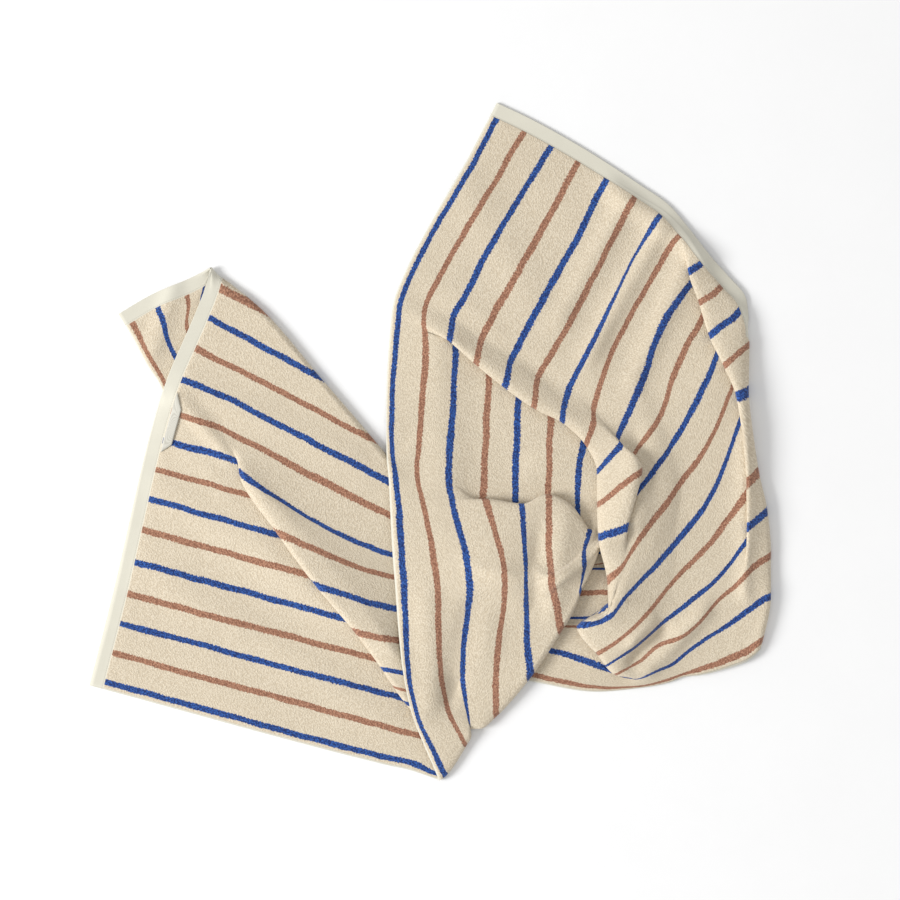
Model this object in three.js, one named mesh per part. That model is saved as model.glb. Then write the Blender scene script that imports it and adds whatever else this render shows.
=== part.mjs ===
// A striped terry bath towel, thrown down on a flat surface with its folds as they fell.
// Lengths are in millimetres, +Z is up, and the towel rests on z = 0.
import * as THREE from "three";

// The flat towel: 18 stripes run along its length, counted from the blue edge.
const TOWEL_WIDTH = 700;
const STRIPE_PITCH = 40;
const FIRST_EDGE = 0.75;
const LAST_EDGE = FIRST_EDGE + TOWEL_WIDTH / STRIPE_PITCH;
const HEM_WIDTH = 18;

// The cloth and the way it lies.
const CLOTH_THICKNESS = 3.6;
const LAYER_PITCH = 6.6;
const FOLD_HALF_GAP = 3.3;
const FOLD_ROUNDING = 4;
const NEAR_CREASE = 3.5;
const NEXT_TO_CREASE = 9;

// The hanging loop, a bare ribbon sewn flat into the inner seam of the left hem.
const LOOP_THICKNESS = 1.2;
const LOOP_WIDTH = 12;
const LOOP_GAP = 0.9;
const LOOP_SEAM = { from: 8.6, to: 10.6 };
const LOOP_FREE = { from: 8.95, to: 10.15 };
const LOOP_STEPS = 8;

// Each section line crosses the towel from the blue edge to the brown one.
// A row gives a stripe number and where that stripe crosses the line, seen from above.
// fold is 1 where the cloth turns back upwards, -1 downwards and 0 where it runs on.
const COLUMNS = ["stripe", "x", "y", "z", "fold"];
const SECTIONS = [
  {
    name: "left hem",
    rows: [
      [0.75, -435, -312, 2, 0],
      [4, -404, -190, 2, 0],
      [7, -376, -68, 2, 0],
      [9, -358, 6, 3, 0],
      [11, -333, 85, 6, 0],
      [12, -315, 127, 8, 0],
      [13, -298, 166, 9, 0],
      [14, -284, 203, 9, 0],
      [14.35, -279, 222, 6, 0],
      [15, -299, 212, 2, 0],
      [16, -329, 197, 2, 0],
      [18.25, -398, 163, 2, 0],
    ],
  },
  {
    name: "hidden crease of the long dart",
    rows: [
      [0.75, -58, -413, 2, 0],
      [2, -32, -371, 2, 0],
      [3, 6, -339, 5, 1],
      [4, -23, -290, 5, 1],
      [5, -60, -239, 6, 1],
      [6, -96, -186, 8, 1],
      [7, -143, -134, 11, 1],
      [8, -189, -80, 12, 1],
      [9, -239, -28, 11, 0.4],
      [10, -262, 14, 9, 0],
      [12, -259, 99, 9, 0],
      [13, -250, 141, 9, 0],
      [14, -261, 191, 9, 0],
      [14.35, -276, 218, 6, 0],
      [15, -296, 199, 2, 0],
      [16, -320, 173, 2, 0],
      [18.25, -381, 135, 2, 0],
    ],
  },
  {
    name: "raised crease of the long dart",
    rows: [
      [0.75, -26, -420, 2, 0],
      [2, 3, -380, 4, 0],
      [3, -32, -331, 11, 1],
      [4, -46, -312, 12, 1],
      [5, -60, -290, 12, 1],
      [6, -96, -241, 13, 1],
      [7, -145, -182, 16, 1],
      [8, -193, -117, 17, 1],
      [9, -242, -40, 14, 0.4],
      [10, -238, 2, 10, 0],
      [12, -228, 83, 9, 0],
      [13, -215, 122, 9, 0],
      [14, -243, 182, 9, 0],
      [14.35, -274, 213, 6, 0],
      [15, -292, 184, 2, 0],
      [16, -311, 148, 2, 0],
      [18.25, -366, 107, 2, 0],
    ],
  },
  {
    name: "left panel at the upright panel's edge",
    rows: [
      [0.75, -2, -428, 2, 0],
      [1, 6, -424, 2, 0],
      [2, 25, -384, 4, 0],
      [3, 8, -350, 9, 0],
      [4, 18, -332, 11, 0],
      [5, -20, -297, 12, 0],
      [6, -37, -254, 12, 0],
      [7, -42, -213, 12, 0],
      [8, -46, -173, 12, 0],
      [9, -50, -144, 11, 0],
      [10, -52, -94, 10, 0],
      [11, -55, -50, 10, 0],
      [12, -104, 18, 9, 0],
      [13, -160, 92, 9, 0],
      [14, -223, 172, 9, 0],
      [14.35, -271, 210, 6, 0],
      [15, -289, 173, 2, 0],
      [16, -305, 132, 2, 0],
      [18.25, -355, 88, 2, 0],
    ],
  },
  {
    name: "turn of the whole towel",
    rows: [
      [0.75, 12, -433, 6, 1],
      [1, 20, -427, 6, 1],
      [2, 46, -388, 8, 1],
      [2.6, 52, -376, 12, 1],
      [3, 50, -366, 12, 1],
      [3.4, 64, -366, 11, 1],
      [4, 84, -351, 9, 1],
      [5, 128, -301, 9, 1],
      [6, 168, -241, 10, 1],
      [6.6, 185, -212, 12, 1],
      [7.3, 193, -188, 12, 1],
      [8, 201, -170, 11, 0.6],
      [8.6, 193, -158, 9, 0],
      [9, 170, -154, 7, -0.7],
      [10, 40, -138, 6, -1],
      [11, -12, -72, 6, -1],
      [12, -73, 2, 6, -1],
      [13, -141, 81, 6, -1],
      [14, -216, 168, 6, -1],
      [14.35, -269, 208, 5, -0.4],
      [15, -287, 168, 2, 0],
      [16, -302, 124, 2, 0],
      [18.25, -349, 80, 2, 0],
    ],
  },
  {
    name: "foot of the upright panel",
    rows: [
      [0.75, -26, -333, 17, 0],
      [1, -20, -333, 18, 0],
      [2, 20, -333, 20, 0],
      [3, 42, -295, 22, 0],
      [4, 86, -273, 20, 0],
      [5, 123, -227, 20, 0],
      [6, 157, -190, 20, 0],
      [7, 196, -159, 15, 0],
      [8, 216, -134, 8, 0],
      [9, 215, -130, 4, 0],
      [10, 85, -166, 2, 0],
      [11, 10, -125, 2, 0],
      [12, -46, -70, 2, 0],
      [13, -109, -5, 2, 0],
      [14, -172, 42, 2, 0],
      [15, -228, 43, 2, 0],
      [16, -259, 30, 2, 0],
      [17, -288, 21, 2, 0],
      [18.25, -325, 28, 2, 0],
    ],
  },
  {
    name: "belly of the upright panel",
    rows: [
      [0.75, -45, -171, 18, 0],
      [1, -33, -168, 20, 0],
      [2, 8, -168, 21, 0],
      [3, 50, -168, 22, 0],
      [4, 96, -171, 24, 0],
      [4.6, 112, -170, 26, 0],
      [5, 122, -168, 22, 0],
      [5.4, 132, -168, 19, 0],
      [6, 154, -168, 21, 0],
      [7, 197, -140, 15, 0],
      [8, 218, -123, 8, 0],
      [9, 232, -120, 4, 0],
      [10, 125, -166, 2, 0],
      [11, 45, -160, 2, 0],
      [12, -15, -120, 2, 0],
      [13, -84, -60, 2, 0],
      [14, -137, -15, 2, 0],
      [15, -180, -16, 2, 0],
      [16, -210, -28, 2, 0],
      [17, -239, -39, 2, 0],
      [18.25, -275, -46, 2, 0],
    ],
  },
  {
    name: "crest of the short tuck",
    rows: [
      [0.75, -51, -69, 21, 0],
      [1, -40, -69, 22, 0],
      [2, -9, -75, 22, 0],
      [3, 28, -75, 21, 0],
      [4, 71, -74, 24, -1],
      [5, 118, -80, 24, -1],
      [6, 151, -68, 24, -1],
      [6.5, 177, -79, 21, -1],
      [7, 205, -113, 14, -0.5],
      [8, 221, -111, 8, 0],
      [9, 244, -112, 5, 0],
      [10, 175, -155, 2, 0],
      [11, 90, -176, 2, 0],
      [12, 25, -165, 2, 0],
      [13, -45, -130, 2, 0],
      [14, -100, -85, 2, 0],
      [15, -132, -88, 2, 0],
      [16, -160, -92, 2, 0],
      [17, -189, -102, 2, 0],
      [18.25, -224, -120, 2, 0],
    ],
  },
  {
    name: "hidden crease of the short tuck",
    rows: [
      [0.75, -52, -49, 18, 0],
      [1, -42, -49, 18, 0],
      [2, -16, -51, 18, 0],
      [3, 24, -53, 17, 0],
      [4, 68, -86, 12, -1],
      [5, 109, -103, 12, -1],
      [6, 150, -98, 12, -1],
      [6.5, 172, -106, 12, -1],
      [7, 190, -116, 9, -0.5],
      [8, 226, -84, 7, 0],
      [9, 256, -90, 5, 0],
      [10, 222, -130, 3, 0],
      [11, 160, -166, 2, 0],
      [12, 100, -184, 2, 0],
      [13, 55, -196, 2, 0],
      [14, 28, -204, 2, 0],
      [15, 9, -214, 2, 0],
      [16, -6, -228, 2, 0],
      [17, -19, -247, 2, 0],
      [18.25, -38, -268, 2, 0],
    ],
  },
  {
    name: "middle of the upright panel",
    rows: [
      [0.75, -55, -16, 13, 0],
      [1, -48, -16, 13, 0],
      [2, -12, 15, 7, 0],
      [3, 28, 20, 4, 0],
      [4, 72, 12, 4, 0],
      [5, 111, -6, 6, 0],
      [6, 153, -15, 6, 0],
      [7, 190, -43, 6, 0],
      [8, 230, -40, 6, 0],
      [9, 266, -62, 6, 0],
      [10, 252, -105, 5, 0],
      [11, 228, -138, 3, 0],
      [12, 210, -158, 3, 0],
      [13, 198, -163, 2, 0],
      [14, 188, -194, 2, 0],
      [15, 180, -226, 2, 0],
      [16, 171, -236, 2, 0],
      [17, 155, -268, 2, 0],
      [18.25, 141, -309, 2, 0],
    ],
  },
  {
    name: "hidden crease of the great pleat",
    rows: [
      [0.75, -49, 158, 2, 0],
      [2, -6, 142, 3, 0],
      [3, 33, 128, 4, 0.5],
      [4, 77, 102, 6, 1],
      [5, 115, 74, 6, 1],
      [6, 156, 49, 6, 1],
      [7, 202, 25, 6, 1],
      [8, 246, 5, 6, 1],
      [9, 275, -46, 7, 1],
      [10, 284, -90, 8, 1],
      [11, 288, -124, 8, 1],
      [12, 292, -147, 8, 1],
      [13, 290, -168, 8, 1],
      [14, 285, -192, 8, 1],
      [15, 280, -222, 8, 1],
      [16, 268, -240, 8, 1],
      [17, 225, -290, 4, 0],
      [18.25, 207, -320, 2, 0],
    ],
  },
  {
    name: "raised crease of the great pleat",
    rows: [
      [0.75, -45, 182, 3, 0],
      [2, -8, 151, 7, 0],
      [3, 26, 127, 10, 0.5],
      [4, 60, 98, 13, 1],
      [5, 96, 69, 14, 1],
      [6, 133, 43, 14, 1],
      [7, 169, 25, 14, 1],
      [8, 200, -5, 14, 1],
      [9, 214, -39, 17, 1],
      [10, 214, -81, 18, 1],
      [11, 215, -122, 18, 1],
      [12, 227, -177, 15, 1],
      [12.6, 229, -217, 13, 1],
      [13, 188, -235, 12, 1],
      [14, 214, -271, 12, 1],
      [15, 225, -286, 11, 1],
      [16, 236, -297, 10, 0.6],
      [17, 262, -303, 6, 0],
      [18.25, 262, -316, 2, 0],
    ],
  },
  {
    name: "far edge of the raised band",
    rows: [
      [0.75, -33, 212, 3, 0],
      [2, -5, 176, 6, 0],
      [3, 30, 156, 8, 0],
      [4, 66, 129, 10, 0],
      [5, 104, 104, 12, 0],
      [6, 137, 79, 13, 0],
      [7, 172, 50, 16, 0],
      [8, 209, 27, 20, -0.3],
      [9, 244, -5, 26, -0.7],
      [10, 269, -36, 27, -1],
      [11, 250, -110, 25, -1],
      [12, 246, -157, 19, 0],
      [13, 226, -225, 14, 0],
      [14, 250, -246, 15, 0],
      [15, 262, -260, 12, 0],
      [16, 269, -281, 10, 0],
      [17, 288, -292, 8, 0],
      [18.25, 307, -308, 3, 0],
    ],
  },
  {
    name: "hidden crease past the band",
    rows: [
      [0.75, -22, 236, 3, 0],
      [2, 10, 205, 4, 0],
      [3, 44, 184, 5, 0],
      [4, 78, 155, 6, 0],
      [5, 110, 116, 8, 0],
      [6, 143, 90, 9, 0],
      [7, 180, 70, 11, 0],
      [8, 208, 38, 14, -0.3],
      [9, 238, 2, 19, -0.7],
      [10, 256, -22, 20, -1],
      [11, 242, -90, 19, -1],
      [12, 262, -130, 16, 0],
      [13, 246, -200, 16, 0],
      [14, 280, -216, 15, 0],
      [15, 290, -236, 13, 0],
      [16, 294, -260, 11, 0],
      [17, 310, -284, 9, 0],
      [18.25, 324, -301, 4, 0],
    ],
  },
  {
    name: "lower part of the far panel",
    rows: [
      [0.75, 4, 284, 2, 0],
      [2, 42, 263, 2, 0],
      [3, 70, 235, 2, 0],
      [4, 105, 203, 2, 0],
      [5, 147, 185, 2, 0],
      [6, 184, 162, 2, 0],
      [7, 218, 145, 2, 0],
      [8, 234, 117, 3, 0],
      [9, 269, 72, 6, 0],
      [10, 292, 28, 8, 0],
      [11, 303, -13, 11, 0],
      [12, 315, -60, 12, 0],
      [13, 308, -136, 15, 0],
      [14, 308, -181, 15, 0],
      [15, 317, -216, 14, 0],
      [16, 320, -250, 12, 0],
      [17, 333, -265, 10, 0],
      [18.25, 345, -299, 6, 0],
    ],
  },
  {
    name: "upper part of the far panel",
    rows: [
      [0.75, 48, 360, 2, 0],
      [2, 90, 343, 2, 0],
      [3, 129, 335, 2, 0],
      [4, 157, 294, 2, 0],
      [5, 198, 277, 2, 0],
      [6, 233, 258, 2, 0],
      [7, 271, 252, 2, 0],
      [8, 279, 200, 2, 0],
      [9, 297, 149, 3, 0],
      [10, 317, 98, 5, 0],
      [11, 339, 47, 7, 0],
      [12, 358, 2, 9, 0],
      [13, 358, -71, 12, 0],
      [14, 361, -126, 12, 0],
      [15, 370, -172, 12, 0],
      [16, 367, -204, 12, 0],
      [17, 385, -231, 10, 0],
      [18.25, 389, -287, 8, 0],
    ],
  },
  {
    name: "hidden crease of the side strip",
    rows: [
      [0.75, 63, 389, 2, 0],
      [2, 106, 372, 2, 0],
      [4, 175, 330, 2, 0],
      [6, 248, 288, 3, 0],
      [7, 284, 272, 4, 0],
      [8, 308, 250, 6, 0],
      [8.5, 326, 232, 7, 0.4],
      [9, 342, 213, 8, 1],
      [10, 358, 174, 9, 1],
      [11, 375, 128, 10, 1],
      [12, 393, 86, 11, 1],
      [13, 402, 44, 13, 1],
      [14, 408, -62, 13, 0.7],
      [15, 409, -120, 13, 0.6],
      [16, 398, -176, 12, 0],
      [17, 408, -214, 11, 0],
      [18.25, 405, -281, 8, 0],
    ],
  },
  {
    name: "raised crease of the side strip",
    rows: [
      [0.75, 72, 406, 2, 0],
      [2, 115, 387, 2, 0],
      [4, 184, 346, 2, 0],
      [6, 257, 303, 3, 0],
      [7, 292, 286, 5, 0],
      [8, 319, 262, 9, 0],
      [8.5, 325, 242, 12, 0.4],
      [9, 330, 216, 14, 1],
      [10, 344, 177, 16, 1],
      [11, 357, 134, 17, 1],
      [12, 375, 96, 18, 1],
      [13, 391, 58, 19, 1],
      [14, 404, -54, 19, 0.7],
      [15, 404, -109, 18, 0.6],
      [16, 405, -166, 14, 0],
      [17, 419, -206, 11, 0],
      [18.25, 412, -276, 8, 0],
    ],
  },
  {
    name: "right side",
    rows: [
      [0.75, 79, 419, 2, 0],
      [2, 123, 399, 2, 0],
      [4, 191, 359, 2, 0],
      [6, 264, 315, 3, 0],
      [7, 299, 294, 5, 0],
      [8, 326, 266, 8, 0],
      [9, 349, 229, 10, 0],
      [10, 370, 195, 10, 0],
      [11, 397, 168, 10, 0],
      [11.5, 405, 145, 10, -0.3],
      [12, 407, 125, 11, -1],
      [13, 406, 64, 11, -1],
      [14, 419, -39, 11, -1],
      [15, 430, -89, 11, -1],
      [16, 435, -145, 11, -1],
      [17, 435, -197, 10, -1],
      [18.25, 422, -266, 7, -1],
    ],
  },
  {
    name: "right hem",
    rows: [
      [0.75, 86, 433, 2, 0],
      [2, 130, 412, 2, 0],
      [4, 198, 374, 2, 0],
      [6, 269, 328, 2, 0],
      [7, 305, 303, 2, 0],
      [8, 333, 270, 3, 0],
      [9, 358, 237, 3, 0],
      [10, 381, 212, 3, 0],
      [11, 405, 180, 3, 0],
      [11.5, 407, 156, 3, 0],
      [12, 390, 126, 2, 0],
      [13, 361, 92, 2, 0],
      [15, 307, 34, 2, 0],
      [18.25, 218, -62, 2, 0],
    ],
  },
];

// Rows of cloth between one section line and the next.
const ROWS_BETWEEN = [8, 4, 6, 5, 5, 5, 5, 6, 6, 6, 5, 5, 4, 5, 6, 5, 4, 4, 6];
// Columns across the towel, split where the left corner is turned under.
const CORNER_FOLD = 14.35;
const COLUMNS_BEFORE = 19;
const COLUMNS_AFTER = 6;

const SETTLE_ROUNDS = 400;
const SETTLE_PULL = 0.02;
const SETTLE_SAG = 0.75;
const SETTLE_SMOOTHING = 0.35;
const CONTACT_STEPS = 8;
const CONTACT_REACH = 1.3;
const FLAT_SNAP = 0.3;
const CURVE_STEPS = 10;

const mix = (a, b, f) => a + (b - a) * f;

// A smooth curve through the rows of one column, with no swing past its values.
function throughRows(stripes, values) {
  const slopes = [];
  for (let i = 1; i < stripes.length; i++) {
    slopes.push((values[i] - values[i - 1]) / (stripes[i] - stripes[i - 1]));
  }
  const tangents = values.map((_, i) => {
    if (i === 0) return slopes[0];
    if (i === slopes.length) return slopes[i - 1];
    const before = slopes[i - 1];
    const after = slopes[i];
    return before * after <= 0 ? 0 : (2 * before * after) / (before + after);
  });
  return (stripe) => {
    let i = 0;
    while (i < slopes.length - 1 && stripe > stripes[i + 1]) i++;
    const span = stripes[i + 1] - stripes[i];
    const t = (stripe - stripes[i]) / span;
    const rise = t * t * (3 - 2 * t);
    return (
      mix(values[i], values[i + 1], rise) +
      span * t * (1 - t) * ((1 - t) * tangents[i] - t * tangents[i + 1])
    );
  };
}

const sectionCurves = SECTIONS.map(({ rows }) => {
  const stripes = rows.map((row) => row[0]);
  const curves = {};
  COLUMNS.slice(1).forEach((column, n) => {
    curves[column] = throughRows(stripes, rows.map((row) => row[n + 1]));
  });
  return curves;
});

// The crossing points of one stripe with every section line.
function crossings(stripe) {
  return sectionCurves.map((curves) => ({
    point: new THREE.Vector3(curves.x(stripe), curves.y(stripe), curves.z(stripe)),
    fold: curves.fold(stripe),
  }));
}

// The run of one stripe as a fine polyline, with the place of each section line along it.
function stripeRun(stripe) {
  const knots = crossings(stripe);
  const tangentAt = knots.map(({ point, fold }, k) => {
    const before = k > 0 ? point.clone().sub(knots[k - 1].point) : null;
    const after = k < knots.length - 1 ? knots[k + 1].point.clone().sub(point) : null;
    const incoming = before ? before.normalize() : after.clone().normalize();
    const outgoing = after ? after.normalize() : incoming.clone();
    const through = incoming.clone().add(outgoing).normalize();
    const sharp = Math.min(1, Math.abs(fold) * 2);
    return {
      incoming: through.clone().lerp(incoming, sharp),
      outgoing: through.clone().lerp(outgoing, sharp),
    };
  });
  const points = [];
  const places = [];
  for (let k = 0; k < knots.length; k++) {
    const { point, fold } = knots[k];
    const turn = new THREE.Vector3(0, 0, fold * FOLD_HALF_GAP);
    points.push(point.clone().sub(turn));
    places.push(points.length);
    points.push(point.clone());
    points.push(point.clone().add(turn));
    if (k === knots.length - 1) break;
    const next = knots[k + 1];
    const start = point.clone().add(turn);
    const nextTurn = new THREE.Vector3(0, 0, next.fold * FOLD_HALF_GAP);
    const end = next.point.clone().sub(nextTurn);
    const reach = start.distanceTo(end);
    const curve = new THREE.CubicBezierCurve3(
      start,
      start.clone().addScaledVector(tangentAt[k].outgoing, reach / 3),
      end.clone().addScaledVector(tangentAt[k + 1].incoming, -reach / 3),
      end,
    );
    for (let n = 1; n < CURVE_STEPS; n++) points.push(curve.getPoint(n / CURVE_STEPS));
  }
  const lengths = [0];
  for (let n = 1; n < points.length; n++) {
    lengths.push(lengths[n - 1] + points[n].distanceTo(points[n - 1]));
  }
  return { points, lengths, marks: places.map((n) => lengths[n]) };
}

// A point at a distance along the run, past its ends on a straight line.
function pointAlong({ points, lengths }, distance) {
  let n = 1;
  while (n < points.length - 1 && lengths[n] < distance) n++;
  while (n > 1 && lengths[n] - lengths[n - 1] < 1e-6) n--;
  const span = Math.max(lengths[n] - lengths[n - 1], 1e-6);
  return points[n - 1].clone().lerp(points[n], (distance - lengths[n - 1]) / span);
}

// The same point with its creases rounded, as the mean of the run on both sides.
function roundedPoint(run, distance) {
  const sum = new THREE.Vector3();
  let total = 0;
  for (let n = -4; n <= 4; n++) {
    const weight = Math.exp(-(n * n) / 8);
    sum.addScaledVector(pointAlong(run, distance + (n * FOLD_ROUNDING) / 2), weight);
    total += weight;
  }
  return sum.divideScalar(total);
}

// Distances of the rows between two section lines, closer together beside them.
function rowDistances(from, to, count) {
  const length = to - from;
  const beside = [Math.min(NEAR_CREASE, length * 0.14)];
  if (count > 5) beside.push(Math.min(NEXT_TO_CREASE, length * 0.3));
  const last = beside[beside.length - 1];
  const inner = count - 1 - 2 * beside.length;
  const distances = [0, ...beside];
  for (let n = 1; n <= inner; n++) {
    distances.push(mix(last, length - last, n / (inner + 1)));
  }
  beside.reverse().forEach((d) => distances.push(length - d));
  return distances.map((d) => from + d);
}

function towelColumns() {
  const stripes = [];
  for (let n = 0; n < COLUMNS_BEFORE; n++) {
    stripes.push(mix(FIRST_EDGE, CORNER_FOLD, n / COLUMNS_BEFORE));
  }
  for (let n = 0; n <= COLUMNS_AFTER; n++) {
    stripes.push(mix(CORNER_FOLD, LAST_EDGE, n / COLUMNS_AFTER));
  }
  return stripes;
}

// The middle of the cloth as a grid: one column for each stripe place, with its distances.
function layOutCloth() {
  return towelColumns().map((stripe) => {
    const run = stripeRun(stripe);
    const distances = [];
    ROWS_BETWEEN.forEach((count, k) => {
      distances.push(...rowDistances(run.marks[k], run.marks[k + 1], count));
    });
    distances.push(run.marks[run.marks.length - 1]);
    return {
      stripe,
      distances,
      points: distances.map((distance) => roundedPoint(run, distance)),
    };
  });
}

// The sum of a value over a triangle's corners, each with its weight.
function sumOf(ids, weights, valueAt) {
  return ids.reduce((sum, id, k) => sum + weights[k] * valueAt(id), 0);
}

// Where cloth lies over cloth: each grid point with the nearest triangles above and below it.
function findContacts(columns) {
  const width = columns[0].points.length;
  const flat = columns.flatMap(({ points }) => points);
  const cellSize = 40;
  const cells = new Map();
  const triangles = [];
  for (let c = 0; c < columns.length - 1; c++) {
    for (let r = 0; r < width - 1; r++) {
      const a = c * width + r;
      const corners = [a, a + 1, a + width, a + width + 1];
      for (const ids of [
        [corners[0], corners[1], corners[2]],
        [corners[1], corners[3], corners[2]],
      ]) {
        const id = triangles.push({ ids }) - 1;
        const xs = ids.map((n) => flat[n].x);
        const ys = ids.map((n) => flat[n].y);
        const last = [Math.max(...xs), Math.max(...ys)].map((v) => Math.floor(v / cellSize));
        const first = [Math.min(...xs), Math.min(...ys)].map((v) => Math.floor(v / cellSize));
        for (let i = first[0]; i <= last[0]; i++) {
          for (let j = first[1]; j <= last[1]; j++) {
            const key = i + "," + j;
            if (!cells.has(key)) cells.set(key, []);
            cells.get(key).push(id);
          }
        }
      }
    }
  }
  const distanceAt = (id) => columns[Math.floor(id / width)].distances[id % width];
  const stripeAt = (id) => columns[Math.floor(id / width)].stripe;
  const contacts = [];
  flat.forEach((p, index) => {
    const key = Math.floor(p.x / cellSize) + "," + Math.floor(p.y / cellSize);
    const nearest = {};
    for (const id of cells.get(key) || []) {
      const triangle = triangles[id];
      if (triangle.ids.includes(index)) continue;
      const [a, b, c] = triangle.ids.map((n) => flat[n]);
      const area = (b.x - a.x) * (c.y - a.y) - (c.x - a.x) * (b.y - a.y);
      if (Math.abs(area) < 1e-3) continue;
      const wb = ((p.x - a.x) * (c.y - a.y) - (c.x - a.x) * (p.y - a.y)) / area;
      const wc = ((b.x - a.x) * (p.y - a.y) - (p.x - a.x) * (b.y - a.y)) / area;
      const wa = 1 - wb - wc;
      if (wa < 0 || wb < 0 || wc < 0) continue;
      const rise = p.z - (wa * a.z + wb * b.z + wc * c.z);
      const side = rise >= 0 ? 1 : -1;
      if (nearest[side] && nearest[side].apart <= Math.abs(rise)) continue;
      const weights = [wa, wb, wc];
      const along = distanceAt(index) - sumOf(triangle.ids, weights, distanceAt);
      const across = stripeAt(index) - sumOf(triangle.ids, weights, stripeAt);
      const gap = Math.min(LAYER_PITCH, Math.hypot(along, across * STRIPE_PITCH) * 0.5);
      const apart = Math.abs(rise);
      nearest[side] = { index, ids: triangle.ids, weights, side, gap, apart };
    }
    contacts.push(...Object.values(nearest));
  });
  return contacts;
}

// One step of pushing layers apart: each point moves by the mean of the pushes on it.
function pushApart(heights, contacts) {
  const push = new Array(heights.length).fill(0);
  const count = new Array(heights.length).fill(0);
  for (const { index, ids, weights, side, gap } of contacts) {
    const height = sumOf(ids, weights, (id) => heights[id]);
    const missing = gap - side * (heights[index] - height);
    if (missing <= 0) continue;
    push[index] += side * missing * 0.5;
    count[index] += 1;
    ids.forEach((id, k) => {
      push[id] -= side * missing * 0.5 * weights[k];
      count[id] += weights[k];
    });
  }
  const floor = CLOTH_THICKNESS / 2;
  return heights.map((z, n) => Math.max(floor, z + (CONTACT_REACH * push[n]) / Math.max(1, count[n])));
}

// Lets every layer rest on the ones under it, a layer's pitch apart, and smooths it.
function settle(columns) {
  const width = columns[0].points.length;
  const flat = columns.flatMap(({ points }) => points);
  const wanted = flat.map((p) => p.z * SETTLE_SAG);
  const contacts = findContacts(columns);
  const neighbours = flat.map((p, index) => {
    const row = index % width;
    const near = [];
    if (row > 0) near.push(index - 1);
    if (row < width - 1) near.push(index + 1);
    if (index >= width) near.push(index - width);
    if (index + width < flat.length) near.push(index + width);
    const weights = near.map((n) => 1 / Math.max(1, p.distanceTo(flat[n])));
    const total = weights.reduce((a, b) => a + b, 0);
    return near.map((n, k) => [n, weights[k] / total]);
  });
  let heights = flat.map((p) => p.z);
  for (let round = 0; round < SETTLE_ROUNDS; round++) {
    const smoothing = SETTLE_SMOOTHING * (1 - round / SETTLE_ROUNDS);
    heights = heights.map((z, index) => {
      const mean = neighbours[index].reduce((sum, [n, w]) => sum + w * heights[n], 0);
      return mix(z, mean, smoothing) + SETTLE_PULL * (wanted[index] - z);
    });
    for (let step = 0; step < CONTACT_STEPS; step++) heights = pushApart(heights, contacts);
  }
  flat.forEach((p, index) => {
    p.z = heights[index];
  });
  return columns;
}

// Unit normals of the grid, towards the side that shows stripes on the far panel.
function gridNormals(columns) {
  const width = columns[0].points.length;
  return columns.map(({ points }, c) => {
    const left = columns[Math.max(c - 1, 0)].points;
    const right = columns[Math.min(c + 1, columns.length - 1)].points;
    return points.map((_, r) => {
      const along = points[Math.min(r + 1, width - 1)].clone().sub(points[Math.max(r - 1, 0)]);
      const across = right[r].clone().sub(left[r]);
      return across.cross(along).normalize();
    });
  });
}

// A closed body from a grid and its two offset sides.
function closedSheet(upper, lower) {
  const width = upper[0].length;
  const positions = [];
  for (const side of [upper, lower]) {
    for (const column of side) {
      for (const p of column) positions.push(p.x, p.y, p.z);
    }
  }
  const offset = upper.length * width;
  const index = [];
  const quad = (a, b, c, d) => index.push(a, b, c, a, c, d);
  for (let c = 0; c < upper.length - 1; c++) {
    for (let r = 0; r < width - 1; r++) {
      const a = c * width + r;
      quad(a, a + width, a + width + 1, a + 1);
      quad(a + offset, a + offset + 1, a + offset + width + 1, a + offset + width);
    }
  }
  for (let c = 0; c < upper.length - 1; c++) {
    const a = c * width;
    const b = a + width - 1;
    quad(a, a + offset, a + offset + width, a + width);
    quad(b, b + width, b + offset + width, b + offset);
  }
  for (let r = 0; r < width - 1; r++) {
    const a = r;
    const b = (upper.length - 1) * width + r;
    quad(a, a + 1, a + offset + 1, a + offset);
    quad(b, b + offset, b + offset + 1, b + 1);
  }
  const geometry = new THREE.BufferGeometry();
  geometry.setAttribute("position", new THREE.Float32BufferAttribute(positions, 3));
  geometry.setIndex(index);
  return geometry;
}

function offsetPoint(point, normal, distance) {
  const moved = point.clone().addScaledVector(normal, distance);
  if (moved.z < FLAT_SNAP) moved.z = 0;
  return moved;
}

function towelGeometry(columns) {
  const normals = gridNormals(columns);
  const side = (distance) =>
    columns.map(({ points }, c) =>
      points.map((p, r) => offsetPoint(p, normals[c][r], distance)),
    );
  return closedSheet(side(CLOTH_THICKNESS / 2), side(-CLOTH_THICKNESS / 2));
}

// A point of the settled cloth at a stripe place and a distance from the left hem.
function clothPoint(columns, normals, stripe, distance) {
  let c = 0;
  while (c < columns.length - 2 && columns[c + 1].stripe < stripe) c++;
  const f = (stripe - columns[c].stripe) / (columns[c + 1].stripe - columns[c].stripe);
  const at = (n) => {
    const { distances, points } = columns[n];
    let r = 0;
    while (r < distances.length - 2 && distances[r + 1] < distance) r++;
    const t = (distance - distances[r]) / (distances[r + 1] - distances[r]);
    return {
      point: points[r].clone().lerp(points[r + 1], t),
      normal: normals[n][r].clone().lerp(normals[n][r + 1], t),
    };
  };
  const a = at(c);
  const b = at(c + 1);
  return { point: a.point.lerp(b.point, f), normal: a.normal.lerp(b.normal, f).normalize() };
}

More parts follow.
